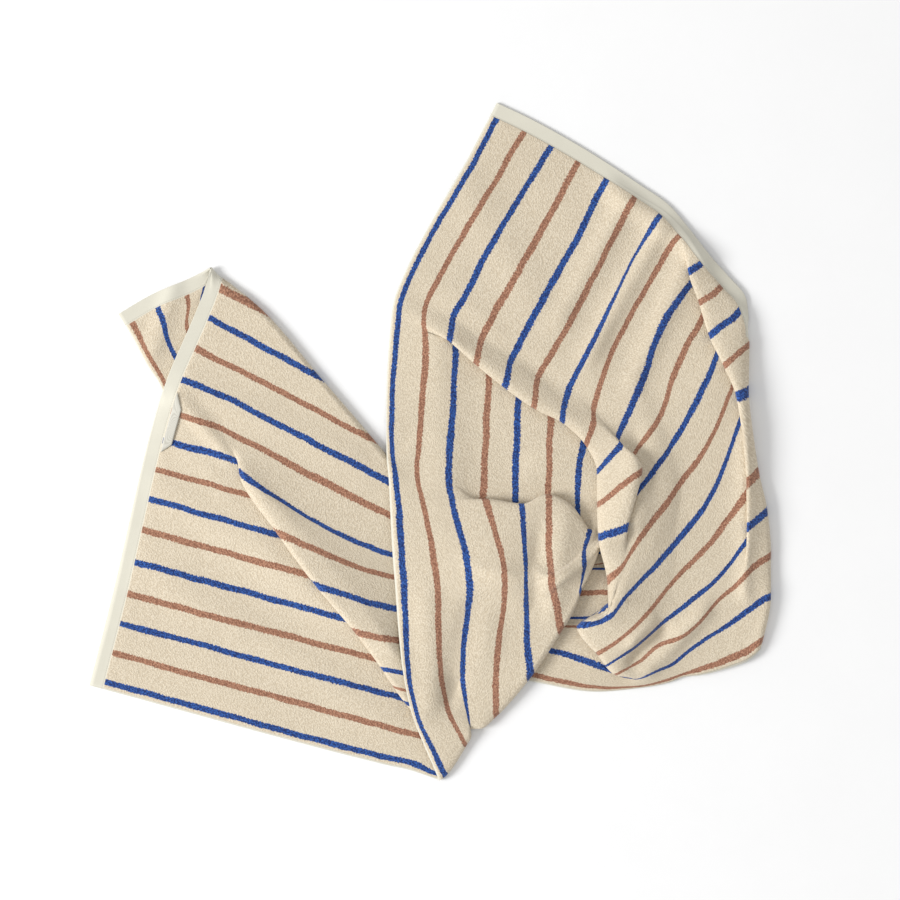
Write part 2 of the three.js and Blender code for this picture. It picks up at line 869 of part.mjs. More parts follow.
// The loop lies on the side of the left panel that faces up, where normals point down.
function loopGeometry(columns) {
  const normals = gridNormals(columns);
  const base = CLOTH_THICKNESS / 2 + LOOP_GAP;
  const side = (rise) =>
    Array.from({ length: LOOP_STEPS + 1 }, (_, n) => {
      const f = n / LOOP_STEPS;
      return [0, 0.5, 1].map((w) => {
        const stripe = mix(
          mix(LOOP_SEAM.from, LOOP_SEAM.to, f),
          mix(LOOP_FREE.from, LOOP_FREE.to, f),
          w,
        );
        const distance = HEM_WIDTH + 1 + w * LOOP_WIDTH;
        const { point, normal } = clothPoint(columns, normals, stripe, distance);
        return point.addScaledVector(normal, -rise);
      });
    });
  return closedSheet(side(base), side(base + LOOP_THICKNESS));
}

const columns = settle(layOutCloth());

const towel = new THREE.Mesh(
  towelGeometry(columns),
  new THREE.MeshStandardMaterial({ color: 0xe0d2b8, roughness: 0.95, metalness: 0 }),
);
towel.name = "towel_cloth";

const loop = new THREE.Mesh(
  loopGeometry(columns),
  new THREE.MeshStandardMaterial({ color: 0xe9e6dc, roughness: 0.8, metalness: 0 }),
);
loop.name = "hanging_loop";

const foldedTowel = new THREE.Group();
foldedTowel.add(towel, loop);

// The origin is the middle of the footprint on the resting plane.
const middle = new THREE.Box3().setFromObject(foldedTowel).getCenter(new THREE.Vector3());
foldedTowel.position.set(-middle.x, -middle.y, 0);

export default foldedTowel;
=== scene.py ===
import math

import bpy
import numpy as np
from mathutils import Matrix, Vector
from mathutils.bvhtree import BVHTree


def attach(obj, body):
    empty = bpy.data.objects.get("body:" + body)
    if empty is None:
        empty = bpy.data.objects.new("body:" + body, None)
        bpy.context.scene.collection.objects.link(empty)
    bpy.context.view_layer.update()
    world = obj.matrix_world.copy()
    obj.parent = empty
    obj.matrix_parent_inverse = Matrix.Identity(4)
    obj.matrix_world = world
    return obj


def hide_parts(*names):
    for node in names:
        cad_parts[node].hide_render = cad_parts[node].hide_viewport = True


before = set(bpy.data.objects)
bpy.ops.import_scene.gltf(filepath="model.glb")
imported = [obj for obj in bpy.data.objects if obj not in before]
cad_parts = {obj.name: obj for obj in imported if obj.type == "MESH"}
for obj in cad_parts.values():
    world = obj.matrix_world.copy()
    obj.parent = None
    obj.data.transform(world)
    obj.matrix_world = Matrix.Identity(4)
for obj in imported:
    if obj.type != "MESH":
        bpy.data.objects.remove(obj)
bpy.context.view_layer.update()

# The camera looks straight down, with the towel at the photograph's place in the frame.
# Sizes here and below are in millimetres.
MM = 0.001
PHOTO_PIXELS = 900
MM_PER_PIXEL = 1.28
FRAME_CENTRE = (26, -11)
CAMERA_HEIGHT = 3000
SENSOR = 36


def make_camera():
    data = bpy.data.cameras.new("camera")
    data.sensor_width = SENSOR
    data.lens = SENSOR * CAMERA_HEIGHT / (PHOTO_PIXELS * MM_PER_PIXEL)
    data.clip_end = 100
    camera = bpy.data.objects.new("camera", data)
    bpy.context.collection.objects.link(camera)
    bpy.context.scene.camera = camera
    return camera


camera = make_camera()

# The flat towel: 18 stripes along its length, counted from the blue edge.
TOWEL_WIDTH = 700
TOWEL_LENGTH = 1400
STRIPE_PITCH = 40
STRIPE_WIDTH = 8
FIRST_EDGE = 0.75
LAST_EDGE = FIRST_EDGE + TOWEL_WIDTH / STRIPE_PITCH
HEM_WIDTH = 18
SELVEDGE = 2

# The cloth and the way it lies. The coarse grid has rows near a crease and next to it, at a
# distance or at a share of a short span.
PILE_THICKNESS = 3.6
HEM_THICKNESS = 2.2
STEP_AT_HEM = 3
STEP_AT_SELVEDGE = 4
LAYER_PITCH = 6.6
FOLD_HALF_GAP = 3.3
FOLD_ROUNDING = 4
NEAR_CREASE = 3.5
NEAR_SHARE = 0.14
NEXT_TO_CREASE = 9
NEXT_SHARE = 0.3

# Each section line crosses the towel from the blue edge to the brown one.
# A row gives a stripe number and where that stripe crosses the line, seen from above.
# fold is 1 where the cloth turns back upwards, -1 downwards and 0 where it runs on.
COLUMNS = ("stripe", "x", "y", "z", "fold")
SECTIONS = {
    "left hem": (
        (0.75, -435, -312, 2, 0),
        (4, -404, -190, 2, 0),
        (7, -376, -68, 2, 0),
        (9, -358, 6, 3, 0),
        (11, -333, 85, 6, 0),
        (12, -315, 127, 8, 0),
        (13, -298, 166, 9, 0),
        (14, -284, 203, 9, 0),
        (14.35, -279, 222, 6, 0),
        (15, -291, 216, 2, 0),
        (16, -317, 204, 2, 0),
        (17, -355, 188, 2, 0),
        (18.25, -398, 163, 2, 0),
    ),
    "hidden crease of the long dart": (
        (0.75, -58, -413, 2, 0),
        (2, -32, -371, 2, 0),
        (3, 6, -339, 5, 1),
        (4, -23, -290, 5, 1),
        (5, -60, -239, 6, 1),
        (6, -96, -186, 8, 1),
        (7, -143, -134, 11, 1),
        (8, -189, -80, 12, 1),
        (9, -239, -28, 11, 0.4),
        (10, -262, 14, 9, 0),
        (12, -259, 99, 9, 0),
        (13, -250, 141, 9, 0),
        (14, -261, 191, 9, 0),
        (14.35, -276, 218, 6, 0),
        (15, -288, 199, 2, 0),
        (16, -308, 176, 2, 0),
        (17, -341, 156, 2, 0),
        (18.25, -381, 135, 2, 0),
    ),
    "raised crease of the long dart": (
        (0.75, -26, -420, 2, 0),
        (2, 3, -380, 4, 0),
        (3, -32, -331, 11, 1),
        (4, -46, -312, 12, 1),
        (5, -60, -290, 12, 1),
        (6, -96, -241, 13, 1),
        (7, -145, -182, 16, 1),
        (8, -193, -117, 17, 1),
        (9, -242, -40, 14, 0.4),
        (10, -238, 2, 10, 0),
        (12, -228, 83, 9, 0),
        (13, -215, 122, 9, 0),
        (14, -243, 182, 9, 0),
        (14.35, -274, 213, 6, 0),
        (15, -292, 184, 2, 0),
        (16, -311, 148, 2, 0),
        (18.25, -366, 107, 2, 0),
    ),
    "left panel at the upright panel's edge": (
        (0.75, -2, -428, 2, 0),
        (1, 6, -424, 2, 0),
        (2, 25, -384, 4, 0),
        (3, 8, -350, 9, 0),
        (4, 18, -332, 11, 0),
        (5, -20, -297, 12, 0),
        (6, -37, -254, 12, 0),
        (7, -42, -213, 12, 0),
        (8, -46, -173, 12, 0),
        (9, -50, -144, 11, 0),
        (10, -52, -94, 10, 0),
        (11, -55, -50, 10, 0),
        (12, -104, 18, 9, 0),
        (13, -160, 92, 9, 0),
        (14, -223, 172, 9, 0),
        (14.35, -271, 210, 6, 0),
        (15, -289, 173, 2, 0),
        (16, -305, 132, 2, 0),
        (18.25, -355, 88, 2, 0),
    ),
    "turn of the whole towel": (
        (0.75, 12, -433, 6, 1),
        (1, 20, -427, 6, 1),
        (2, 46, -388, 8, 1),
        (2.6, 52, -376, 12, 1),
        (3, 50, -366, 12, 1),
        (3.4, 64, -366, 11, 1),
        (4, 84, -351, 9, 1),
        (5, 128, -301, 9, 1),
        (6, 168, -241, 10, 1),
        (6.6, 185, -212, 12, 1),
        (7.3, 193, -188, 12, 1),
        (8, 201, -170, 11, 0.6),
        (8.6, 193, -158, 9, 0),
        (9, 170, -154, 7, -0.7),
        (10, 40, -138, 6, -1),
        (11, -12, -72, 6, -1),
        (12, -73, 2, 6, -1),
        (13, -141, 81, 6, -1),
        (14, -216, 168, 6, -1),
        (14.35, -269, 208, 5, -0.4),
        (15, -287, 168, 2, 0),
        (16, -302, 124, 2, 0),
        (18.25, -349, 80, 2, 0),
    ),
    "foot of the upright panel": (
        (0.75, -26, -333, 17, 0),
        (1, -20, -333, 18, 0),
        (2, 20, -333, 20, 0),
        (3, 42, -295, 22, 0),
        (4, 86, -273, 20, 0),
        (5, 123, -227, 20, 0),
        (6, 157, -190, 20, 0),
        (7, 196, -159, 15, 0),
        (8, 216, -134, 8, 0),
        (9, 215, -130, 4, 0),
        (10, 85, -166, 2, 0),
        (11, 10, -125, 2, 0),
        (12, -46, -70, 2, 0),
        (13, -109, -5, 2, 0),
        (14, -172, 42, 2, 0),
        (15, -228, 43, 2, 0),
        (16, -259, 30, 2, 0),
        (17, -288, 21, 2, 0),
        (18.25, -325, 28, 2, 0),
    ),
    "belly of the upright panel": (
        (0.75, -45, -171, 18, 0),
        (1, -33, -168, 20, 0),
        (2, 8, -168, 21, 0),
        (3, 50, -168, 22, 0),
        (4, 96, -171, 24, 0),
        (4.6, 112, -170, 26, 0),
        (5, 122, -168, 22, 0),
        (5.4, 132, -168, 19, 0),
        (6, 154, -168, 21, 0),
        (7, 197, -140, 15, 0),
        (8, 218, -123, 8, 0),
        (9, 232, -120, 4, 0),
        (10, 125, -166, 2, 0),
        (11, 45, -160, 2, 0),
        (12, -15, -120, 2, 0),
        (13, -84, -60, 2, 0),
        (14, -137, -15, 2, 0),
        (15, -180, -16, 2, 0),
        (16, -210, -28, 2, 0),
        (17, -239, -39, 2, 0),
        (18.25, -275, -46, 2, 0),
    ),
    "crest of the short tuck": (
        (0.75, -51, -69, 21, 0),
        (1, -40, -69, 22, 0),
        (2, -9, -75, 22, 0),
        (3, 28, -75, 21, 0),
        (4, 71, -74, 24, -1),
        (5, 118, -80, 24, -1),
        (6, 151, -68, 24, -1),
        (6.5, 177, -79, 21, -1),
        (7, 205, -113, 14, -0.5),
        (8, 221, -111, 8, 0),
        (9, 244, -112, 5, 0),
        (10, 175, -155, 2, 0),
        (11, 90, -176, 2, 0),
        (12, 25, -165, 2, 0),
        (13, -45, -130, 2, 0),
        (14, -100, -85, 2, 0),
        (15, -132, -88, 2, 0),
        (16, -160, -92, 2, 0),
        (17, -189, -102, 2, 0),
        (18.25, -224, -120, 2, 0),
    ),
    "hidden crease of the short tuck": (
        (0.75, -52, -49, 18, 0),
        (1, -42, -49, 18, 0),
        (2, -16, -51, 18, 0),
        (3, 24, -53, 17, 0),
        (4, 68, -86, 12, -1),
        (5, 109, -103, 12, -1),
        (6, 150, -98, 12, -1),
        (6.5, 172, -106, 12, -1),
        (7, 190, -116, 9, -0.5),
        (8, 226, -84, 7, 0),
        (9, 256, -90, 5, 0),
        (10, 222, -130, 3, 0),
        (11, 160, -166, 2, 0),
        (12, 100, -184, 2, 0),
        (13, 55, -196, 2, 0),
        (14, 28, -204, 2, 0),
        (15, 9, -214, 2, 0),
        (16, -6, -228, 2, 0),
        (17, -19, -247, 2, 0),
        (18.25, -38, -268, 2, 0),
    ),
    "middle of the upright panel": (
        (0.75, -55, -16, 13, 0),
        (1, -48, -16, 13, 0),
        (2, -12, 15, 7, 0),
        (3, 28, 20, 4, 0),
        (4, 72, 12, 4, 0),
        (5, 111, -6, 6, 0),
        (6, 153, -15, 6, 0),
        (7, 190, -43, 6, 0),
        (8, 230, -40, 6, 0),
        (9, 266, -62, 6, 0),
        (10, 252, -105, 5, 0),
        (11, 228, -138, 3, 0),
        (12, 210, -158, 3, 0),
        (13, 198, -163, 2, 0),
        (14, 188, -194, 2, 0),
        (15, 180, -226, 2, 0),
        (16, 171, -236, 2, 0),
        (17, 155, -268, 2, 0),
        (18.25, 141, -309, 2, 0),
    ),
    "hidden crease of the great pleat": (
        (0.75, -49, 158, 2, 0),
        (2, -6, 142, 3, 0),
        (3, 33, 128, 4, 0.5),
        (4, 77, 102, 6, 1),
        (5, 115, 74, 6, 1),
        (6, 156, 49, 6, 1),
        (7, 202, 25, 6, 1),
        (8, 246, 5, 6, 1),
        (9, 275, -46, 7, 1),
        (10, 284, -90, 8, 1),
        (11, 288, -124, 8, 1),
        (12, 292, -147, 8, 1),
        (13, 290, -168, 8, 1),
        (14, 285, -192, 8, 1),
        (15, 280, -222, 8, 1),
        (16, 268, -240, 8, 1),
        (17, 225, -290, 4, 0),
        (18.25, 207, -320, 2, 0),
    ),
    "raised crease of the great pleat": (
        (0.75, -45, 182, 3, 0),
        (2, -8, 151, 7, 0),
        (3, 26, 127, 10, 0.5),
        (4, 60, 98, 13, 1),
        (5, 96, 69, 14, 1),
        (6, 133, 43, 14, 1),
        (7, 169, 25, 14, 1),
        (8, 200, -5, 14, 1),
        (9, 214, -39, 17, 1),
        (10, 214, -81, 18, 1),
        (11, 215, -122, 18, 1),
        (12, 227, -177, 15, 1),
        (12.6, 229, -217, 13, 1),
        (13, 188, -235, 12, 1),
        (14, 214, -271, 12, 1),
        (15, 225, -286, 11, 1),
        (16, 236, -297, 10, 0.6),
        (17, 262, -303, 6, 0),
        (18.25, 262, -316, 2, 0),
    ),
    "far edge of the raised band": (
        (0.75, -33, 212, 3, 0),
        (2, -5, 176, 6, 0),
        (3, 30, 156, 8, 0),
        (4, 66, 129, 10, 0),
        (5, 104, 104, 12, 0),
        (6, 137, 79, 13, 0),
        (7, 172, 50, 16, 0),
        (8, 209, 27, 20, -0.3),
        (9, 244, -5, 26, -0.7),
        (10, 269, -36, 27, -1),
        (11, 250, -110, 25, -1),
        (12, 246, -157, 19, 0),
        (13, 226, -225, 14, 0),
        (14, 250, -246, 15, 0),
        (15, 262, -260, 12, 0),
        (16, 269, -281, 10, 0),
        (17, 288, -292, 8, 0),
        (18.25, 307, -308, 3, 0),
    ),
    "hidden crease past the band": (
        (0.75, -22, 236, 3, 0),
        (2, 10, 205, 4, 0),
        (3, 44, 184, 5, 0),
        (4, 78, 155, 6, 0),
        (5, 110, 116, 8, 0),
        (6, 143, 90, 9, 0),
        (7, 180, 70, 11, 0),
        (8, 208, 38, 14, -0.3),
        (9, 238, 2, 19, -0.7),
        (10, 256, -22, 20, -1),
        (11, 242, -90, 19, -1),
        (12, 262, -130, 16, 0),
        (13, 246, -200, 16, 0),
        (14, 280, -216, 15, 0),
        (15, 290, -236, 13, 0),
        (16, 294, -260, 11, 0),
        (17, 310, -284, 9, 0),
        (18.25, 324, -301, 4, 0),
    ),
    "lower part of the far panel": (
        (0.75, 4, 284, 2, 0),
        (2, 42, 263, 2, 0),
        (3, 70, 235, 2, 0),
        (4, 105, 203, 2, 0),
        (5, 147, 185, 2, 0),
        (6, 184, 162, 2, 0),
        (7, 218, 145, 2, 0),
        (8, 234, 117, 3, 0),
        (9, 269, 72, 6, 0),
        (10, 292, 28, 8, 0),
        (11, 303, -13, 11, 0),
        (12, 315, -60, 12, 0),
        (13, 308, -136, 15, 0),
        (14, 308, -181, 15, 0),
        (15, 317, -216, 14, 0),
        (16, 320, -250, 12, 0),
        (17, 333, -265, 10, 0),
        (18.25, 345, -299, 6, 0),
    ),
    "upper part of the far panel": (
        (0.75, 48, 360, 2, 0),
        (2, 90, 343, 2, 0),
        (3, 129, 335, 2, 0),
        (4, 157, 294, 2, 0),
        (5, 198, 277, 2, 0),
        (6, 233, 258, 2, 0),
        (7, 271, 252, 2, 0),
        (8, 279, 200, 2, 0),
        (9, 297, 149, 3, 0),
        (10, 317, 98, 5, 0),
        (11, 339, 47, 7, 0),
        (12, 358, 2, 9, 0),
        (13, 358, -71, 12, 0),
        (14, 361, -126, 12, 0),
        (15, 370, -172, 12, 0),
        (16, 367, -204, 12, 0),
        (17, 385, -231, 10, 0),
        (18.25, 389, -287, 8, 0),
    ),
    "hidden crease of the side strip": (
        (0.75, 63, 389, 2, 0),
        (2, 106, 372, 2, 0),
        (4, 175, 330, 2, 0),
        (6, 248, 288, 3, 0),
        (7, 284, 272, 4, 0),
        (8, 308, 250, 6, 0),
        (8.5, 326, 232, 7, 0.4),
        (9, 342, 213, 8, 1),
        (10, 358, 174, 9, 1),
        (11, 375, 128, 10, 1),
        (12, 393, 86, 11, 1),
        (13, 402, 44, 13, 1),
        (14, 408, -62, 13, 0.7),
        (15, 409, -120, 13, 0.6),
        (16, 398, -176, 12, 0),
        (17, 408, -214, 11, 0),
        (18.25, 405, -281, 8, 0),
    ),
    "raised crease of the side strip": (
        (0.75, 72, 406, 2, 0),
        (2, 115, 387, 2, 0),
        (4, 184, 346, 2, 0),
        (6, 257, 303, 3, 0),
        (7, 292, 286, 5, 0),
        (8, 319, 262, 9, 0),
        (8.5, 325, 242, 12, 0.4),
        (9, 330, 216, 14, 1),
        (10, 344, 177, 16, 1),
        (11, 357, 134, 17, 1),
        (12, 375, 96, 18, 1),
        (13, 391, 58, 19, 1),
        (14, 404, -54, 19, 0.7),
        (15, 404, -109, 18, 0.6),
        (16, 405, -166, 14, 0),
        (17, 419, -206, 11, 0),
        (18.25, 412, -276, 8, 0),
    ),
    "right side": (
        (0.75, 79, 419, 2, 0),
        (2, 123, 399, 2, 0),
        (4, 191, 359, 2, 0),
        (6, 264, 315, 3, 0),
        (7, 299, 294, 5, 0),
        (8, 326, 266, 8, 0),
        (9, 349, 229, 10, 0),
        (10, 370, 195, 10, 0),
        (11, 397, 168, 10, 0),
        (11.5, 405, 145, 10, -0.3),
        (12, 407, 125, 11, -1),
        (13, 406, 64, 11, -1),
        (14, 419, -39, 11, -1),
        (15, 430, -89, 11, -1),
        (16, 435, -145, 11, -1),
        (17, 435, -197, 10, -1),
        (18.25, 422, -266, 7, -1),
    ),
    "right hem": (
        (0.75, 86, 433, 2, 0),
        (2, 130, 412, 2, 0),
        (4, 198, 374, 2, 0),
        (6, 269, 328, 2, 0),
        (7, 305, 303, 2, 0),
        (8, 333, 270, 3, 0),
        (9, 358, 237, 3, 0),
        (10, 381, 212, 3, 0),
        (11, 405, 180, 3, 0),
        (11.5, 407, 156, 3, 0),
        (12, 390, 126, 2, 0),
        (13, 361, 92, 2, 0),
        (15, 307, 34, 2, 0),
        (18.25, 218, -62, 2, 0),
    ),
}

# Rows of cloth between one section line and the next, and the coarse columns across.
ROWS_BETWEEN = (8, 4, 6, 5, 5, 5, 5, 6, 6, 6, 5, 5, 4, 5, 6, 5, 4, 4, 6)
CORNER_FOLD = 14.35
COLUMNS_BEFORE = 19
COLUMNS_AFTER = 6
CURVE_STEPS = 10

# The settling of the layers. Two that meet in a crease come closer than their pitch there.
SETTLE_ROUNDS = 400
SETTLE_PULL = 0.02
SETTLE_SAG = 0.75
SETTLE_SMOOTHING = 0.35
CONTACT_STEPS = 8
CONTACT_REACH = 1.3
GAP_BY_DISTANCE = 0.5
RAY_START = 0.001

# The fine grid: columns to each coarse one, and rows by the mean span between section lines.
FINE_COLUMNS = 6
FINE_ROW_PITCH = 4.3
FEWEST_FINE_ROWS = 6
ROW_CROWDING = 0.45
FINE_ROUNDS = 120
FINE_SMOOTHING = 0.5
FINE_PULL = 0.008

# The last settling, with the soft folds laid in. The middle stays under the ceiling.
RELIEF_ROUNDS = 24
RELIEF_SMOOTHING = 0.25
BRIDGE_ROUNDS = 90
CEILING = 36
BLUNTING_ROUNDS = 60
SHARPEST_PEAK = 0.5

# Soft ridges and troughs in the cloth, from one place to another as seen from above.
# A row gives x and y at the start, x and y at the end, the height and the half width.
# A trough has a height below 0. Each fades past its ends.
FADE_AT_ENDS = 1.5
SOFT_FOLDS = {
    "ridge along the right hem": (237, 322, 346, 236, 7, 13),
    "first ridge under the right hem": (246, 296, 168, 158, 6, 12),
    "second ridge under the right hem": (290, 262, 205, 112, 8, 11),
    "third ridge under the right hem": (326, 216, 262, 80, 8, 11),
    "trough behind the great pleat": (-6, 178, 232, 26, -4, 15),
    "swell of the far panel": (60, 300, 130, 190, 4, 30),
    "trough at the foot of the upright panel": (56, -214, 26, -320, -10, 11),
    "hollow beside it": (90, -214, 124, -256, -7, 20),
    "ridge at the left of the foot": (-4, -204, 4, -318, 5, 13),
    "ridge of the belly": (170, -108, 160, -206, 6, 12),
    "trough beside the belly": (138, -122, 134, -206, -6, 9),
    "fill under the belly": (60, -186, 204, -170, 4, 12),
    "first ripple above the short tuck": (120, -44, 190, -28, 3.5, 6),
    "second ripple above the short tuck": (130, -24, 188, -4, 3.5, 6),
    "swell of the upright panel": (12, 120, 20, -20, 4, 26),
    "crest beside the long dart": (-318, 52, -262, -10, 6, 11),
    "first swell of the left panel": (-300, 70, -90, -30, 3, 18),
    "second swell of the left panel": (-340, -60, -150, -190, 3, 22),
    "third swell of the left panel": (-330, -180, -60, -350, 3, 22),
    "valley of the corner flap": (-330, 190, -352, 120, 4, 12),
    "soft fold down the right side": (402, 15, 402, -190, 6, 9),
    "lower end of the soft fold": (347, -221, 280, -291, 8, 10),
    "trough beside its lower end": (293, -245, 236, -296, -10, 9),
    "valley beside the knuckle": (262, 0, 276, -60, -8, 12),
}

# The hanging loop, from where it leaves the seam to where it runs free, in stripe places.
LOOP_THICKNESS = 1.0
LOOP_EDGE_THICKNESS = 0.7
LOOP_WIDTH = 12
LOOP_LIFT = 1.3
LOOP_SEAM = (8.6, 10.6)
LOOP_FREE = (8.95, 10.15)
RIBBON_STEPS = 32
RIBBON_COLUMNS = 8
RIBBON_BULGE = 0.8

# Colours, as linear red, green and blue, with alpha for those that are blended.
# Each colour but the floor's is the lit copy, and the darker copy after it is painted shade for
# the low parts of the pile, the weave and the hem's stitches.
CREAM = (0.76, 0.67, 0.525, 1)
CREAM_PAINTED_SHADE = (0.58, 0.49, 0.36, 1)
BLUE = (0.035, 0.13, 0.46, 1)
BLUE_PAINTED_SHADE = (0.003, 0.018, 0.11, 1)
BROWN = (0.52, 0.27, 0.17, 1)
BROWN_PAINTED_SHADE = (0.23, 0.10, 0.058, 1)
HEM_CREAM = (0.70, 0.675, 0.575, 1)
HEM_PAINTED_SHADE = (0.58, 0.55, 0.455, 1)
RIBBON_WHITE = (0.62, 0.60, 0.53, 1)
RIBBON_PAINTED_SHADE = (0.42, 0.40, 0.34, 1)
FLOOR_WHITE = (0.90, 0.90, 0.90)

# The weave and the pile. A stripe wanders slowly, and its edges are ragged in the loops.
PILE_LOOP_PITCH = 1.6
PILE_TUFTS_PER_METRE = 560
PILE_SLANT = 0.6
PILE_STRETCH = 0.8
PILE_BUMP = 0.8
# TUFT_CONTRAST sets how strongly the tufts paint light and shade into the pile's colour.
TUFT_CONTRAST = 1.5
TUFT_RELIEF = 0.8
WOVEN_RELIEF = 0.12
STITCH_DEPTH = 0.15
HEM_THREAD = 0.9
HEM_STITCH_PITCH = 3
HEM_STITCH_SHARE = 0.7
HEM_STITCH_LINE = HEM_WIDTH - 1.6
HEM_STITCH_HALF_WIDTHS = (0.3, 0.9)
WOVEN_EDGE_BLUR = 0.6
RIBBON_THREAD = 0.6
RIBBON_BUMP = 0.2
STRIPE_EDGE_BLUR = 0.5
STRIPE_WANDER = 4
STRIPE_WANDERS_PER_METRE = 28
STRIPE_RAGGEDNESS = 4.2
STRIPE_RAGS_PER_METRE = 420

# The floor and the light, in metres and watts.
FLOOR_HALF = 6
FLOOR_DROP = 0.0002
KEY_PLACE = (-6, -1, 3.6)
KEY_SIZE = 3
KEY_POWER = 500
SKY_STRENGTH = 0.65


def mix(a, b, f):
    return a + (b - a) * f


def eased(t):
    """A share from 0 to 1 that starts and ends softly."""
    return t * t * (3 - 2 * t)


def through_rows(stripes, values):
    """A smooth curve through the rows of one column, with no swing past its values."""
    stripes = np.array(stripes, float)
    values = np.array(values, float)
    slopes = np.diff(values) / np.diff(stripes)
    tangents = np.concatenate(([slopes[0]], np.zeros(len(slopes) - 1), [slopes[-1]]))
    for i in range(1, len(slopes)):
        before, after = slopes[i - 1], slopes[i]
        if before * after > 0:
            tangents[i] = 2 * before * after / (before + after)

    def curve(stripe):
        i = int(np.clip(np.searchsorted(stripes, stripe) - 1, 0, len(slopes) - 1))
        span = stripes[i + 1] - stripes[i]
        t = (stripe - stripes[i]) / span
        bow = (1 - t) * tangents[i] - t * tangents[i + 1]
        return mix(values[i], values[i + 1], eased(t)) + span * t * (1 - t) * bow

    return curve


def section_curves():
    """For each section line, its curves of x, y, z and fold over the stripes."""
    curves = []
    for rows in SECTIONS.values():
        columns = dict(zip(COLUMNS, zip(*rows)))
        stripes = columns.pop("stripe")
        curves.append([through_rows(stripes, values) for values in columns.values()])
    return curves


def unit(vector):
    return vector / max(np.linalg.norm(vector), 1e-9)


def stripe_run(curves, stripe):
    """The run of one stripe as a fine polyline, with the place of each section line."""
    knots = [(np.array([x(stripe), y(stripe), z(stripe)]), fold(stripe))
             for x, y, z, fold in curves]
    tangents = []
    for k, (point, fold) in enumerate(knots):
        ways = []
        if k > 0:
            ways.append(unit(point - knots[k - 1][0]))
        if k < len(knots) - 1:
            ways.append(unit(knots[k + 1][0] - point))
        through = unit(ways[0] + ways[-1])
        sharp = min(1, abs(fold) * 2)
        tangents.append((mix(through, ways[0], sharp), mix(through, ways[-1], sharp)))
    points = []
    places = []
    for k, (point, fold) in enumerate(knots):
        turn = np.array([0, 0, fold * FOLD_HALF_GAP])
        points.append(point - turn)
        places.append(len(points))
        points.append(point)
        points.append(point + turn)
        if k == len(knots) - 1:
            break
        next_point, next_fold = knots[k + 1]
        start = point + turn
        end = next_point - np.array([0, 0, next_fold * FOLD_HALF_GAP])
        reach = np.linalg.norm(end - start) / 3
        handles = (start, start + tangents[k][1] * reach, end - tangents[k + 1][0] * reach, end)
        for n in range(1, CURVE_STEPS):
            points.append(bezier_point(handles, n / CURVE_STEPS))
    points = np.array(points)
    lengths = np.concatenate(([0], np.cumsum(np.linalg.norm(np.diff(points, axis=0), axis=1))))
    return points, lengths, lengths[places]


def bezier_point(handles, t):
    a, b, c, d = handles
    s = 1 - t
    return a * s**3 + b * (3 * s * s * t) + c * (3 * s * t * t) + d * t**3


def points_along(points, lengths, distances):
    """Points at distances along a run, past its ends on a straight line."""
    lengths = lengths + np.arange(len(lengths)) * 1e-7
    found = np.stack([np.interp(distances, lengths, points[:, n]) for n in range(3)], axis=-1)
    start_way = unit(points[3] - points[0])
    end_way = unit(points[-1] - points[-4])
    before = np.minimum(distances, 0)
    after = np.maximum(distances - lengths[-1], 0)
    return found + before[..., None] * start_way + after[..., None] * end_way


def rounded_points(points, lengths, distances):
    """The same points with the run's creases rounded, as a mean over both sides."""
    total = 0
    weights = 0
    for n in range(-4, 5):
        weight = math.exp(-n * n / 8)
        shifted = distances + n * FOLD_ROUNDING / 2
        total = total + weight * points_along(points, lengths, shifted)
        weights += weight
    return total / weights


def row_distances(start, end, count):
    """Distances of the rows between two section lines, closer together beside them."""
    length = end - start
    beside = [min(NEAR_CREASE, length * NEAR_SHARE)]
    if count > 5:
        beside.append(min(NEXT_TO_CREASE, length * NEXT_SHARE))
    last = beside[-1]
    inner = count - 1 - 2 * len(beside)
    middle = [mix(last, length - last, n / (inner + 1)) for n in range(1, inner + 1)]
    distances = [0] + beside + middle + [length - d for d in reversed(beside)]
    return [start + d for d in distances]


def coarse_rows(marks):
    """The rows of one coarse column, from its distances to the section lines."""
    distances = []
    for k, count in enumerate(ROWS_BETWEEN):
        distances += row_distances(marks[k], marks[k + 1], count)
    return np.array(distances + [marks[-1]])


def fine_row_counts(marks):
    """Rows of the fine grid from each section line to the next, by the mean span there."""
    spans = np.diff(marks, axis=1).mean(axis=0)
    return [max(FEWEST_FINE_ROWS, round(span / FINE_ROW_PITCH)) for span in spans]


def fine_rows(marks, counts):
    """The rows of one fine column, closer together beside the section lines."""
    distances = []
    for k, count in enumerate(counts):
        t = np.arange(count) / count
        t = t - ROW_CROWDING * np.sin(2 * np.pi * t) / (2 * np.pi)
        distances.append(mix(marks[k], marks[k + 1], t))
    return np.concatenate(distances + [marks[-1:]])


def towel_columns():
    before = [mix(FIRST_EDGE, CORNER_FOLD, n / COLUMNS_BEFORE) for n in range(COLUMNS_BEFORE)]
    after = [mix(CORNER_FOLD, LAST_EDGE, n / COLUMNS_AFTER) for n in range(COLUMNS_AFTER + 1)]
    return np.array(before + after)


def lay_out(stripes, rows_of):
    """Grids of points and of distances from the left hem, a column for each stripe place."""
    curves = section_curves()
    all_points = []
    all_distances = []
    for stripe in stripes:
        points, lengths, marks = stripe_run(curves, stripe)
        distances = rows_of(marks)
        all_distances.append(distances)
        all_points.append(rounded_points(points, lengths, distances))
    return np.array(all_points), np.array(all_distances)


def grid_triangles(columns, rows):
    a = (np.arange(columns - 1)[:, None] * rows + np.arange(rows - 1)[None, :]).ravel()
    lower = np.stack([a, a + 1, a + rows], axis=1)
    upper = np.stack([a + 1, a + rows + 1, a + rows], axis=1)
    return np.concatenate([lower, upper])


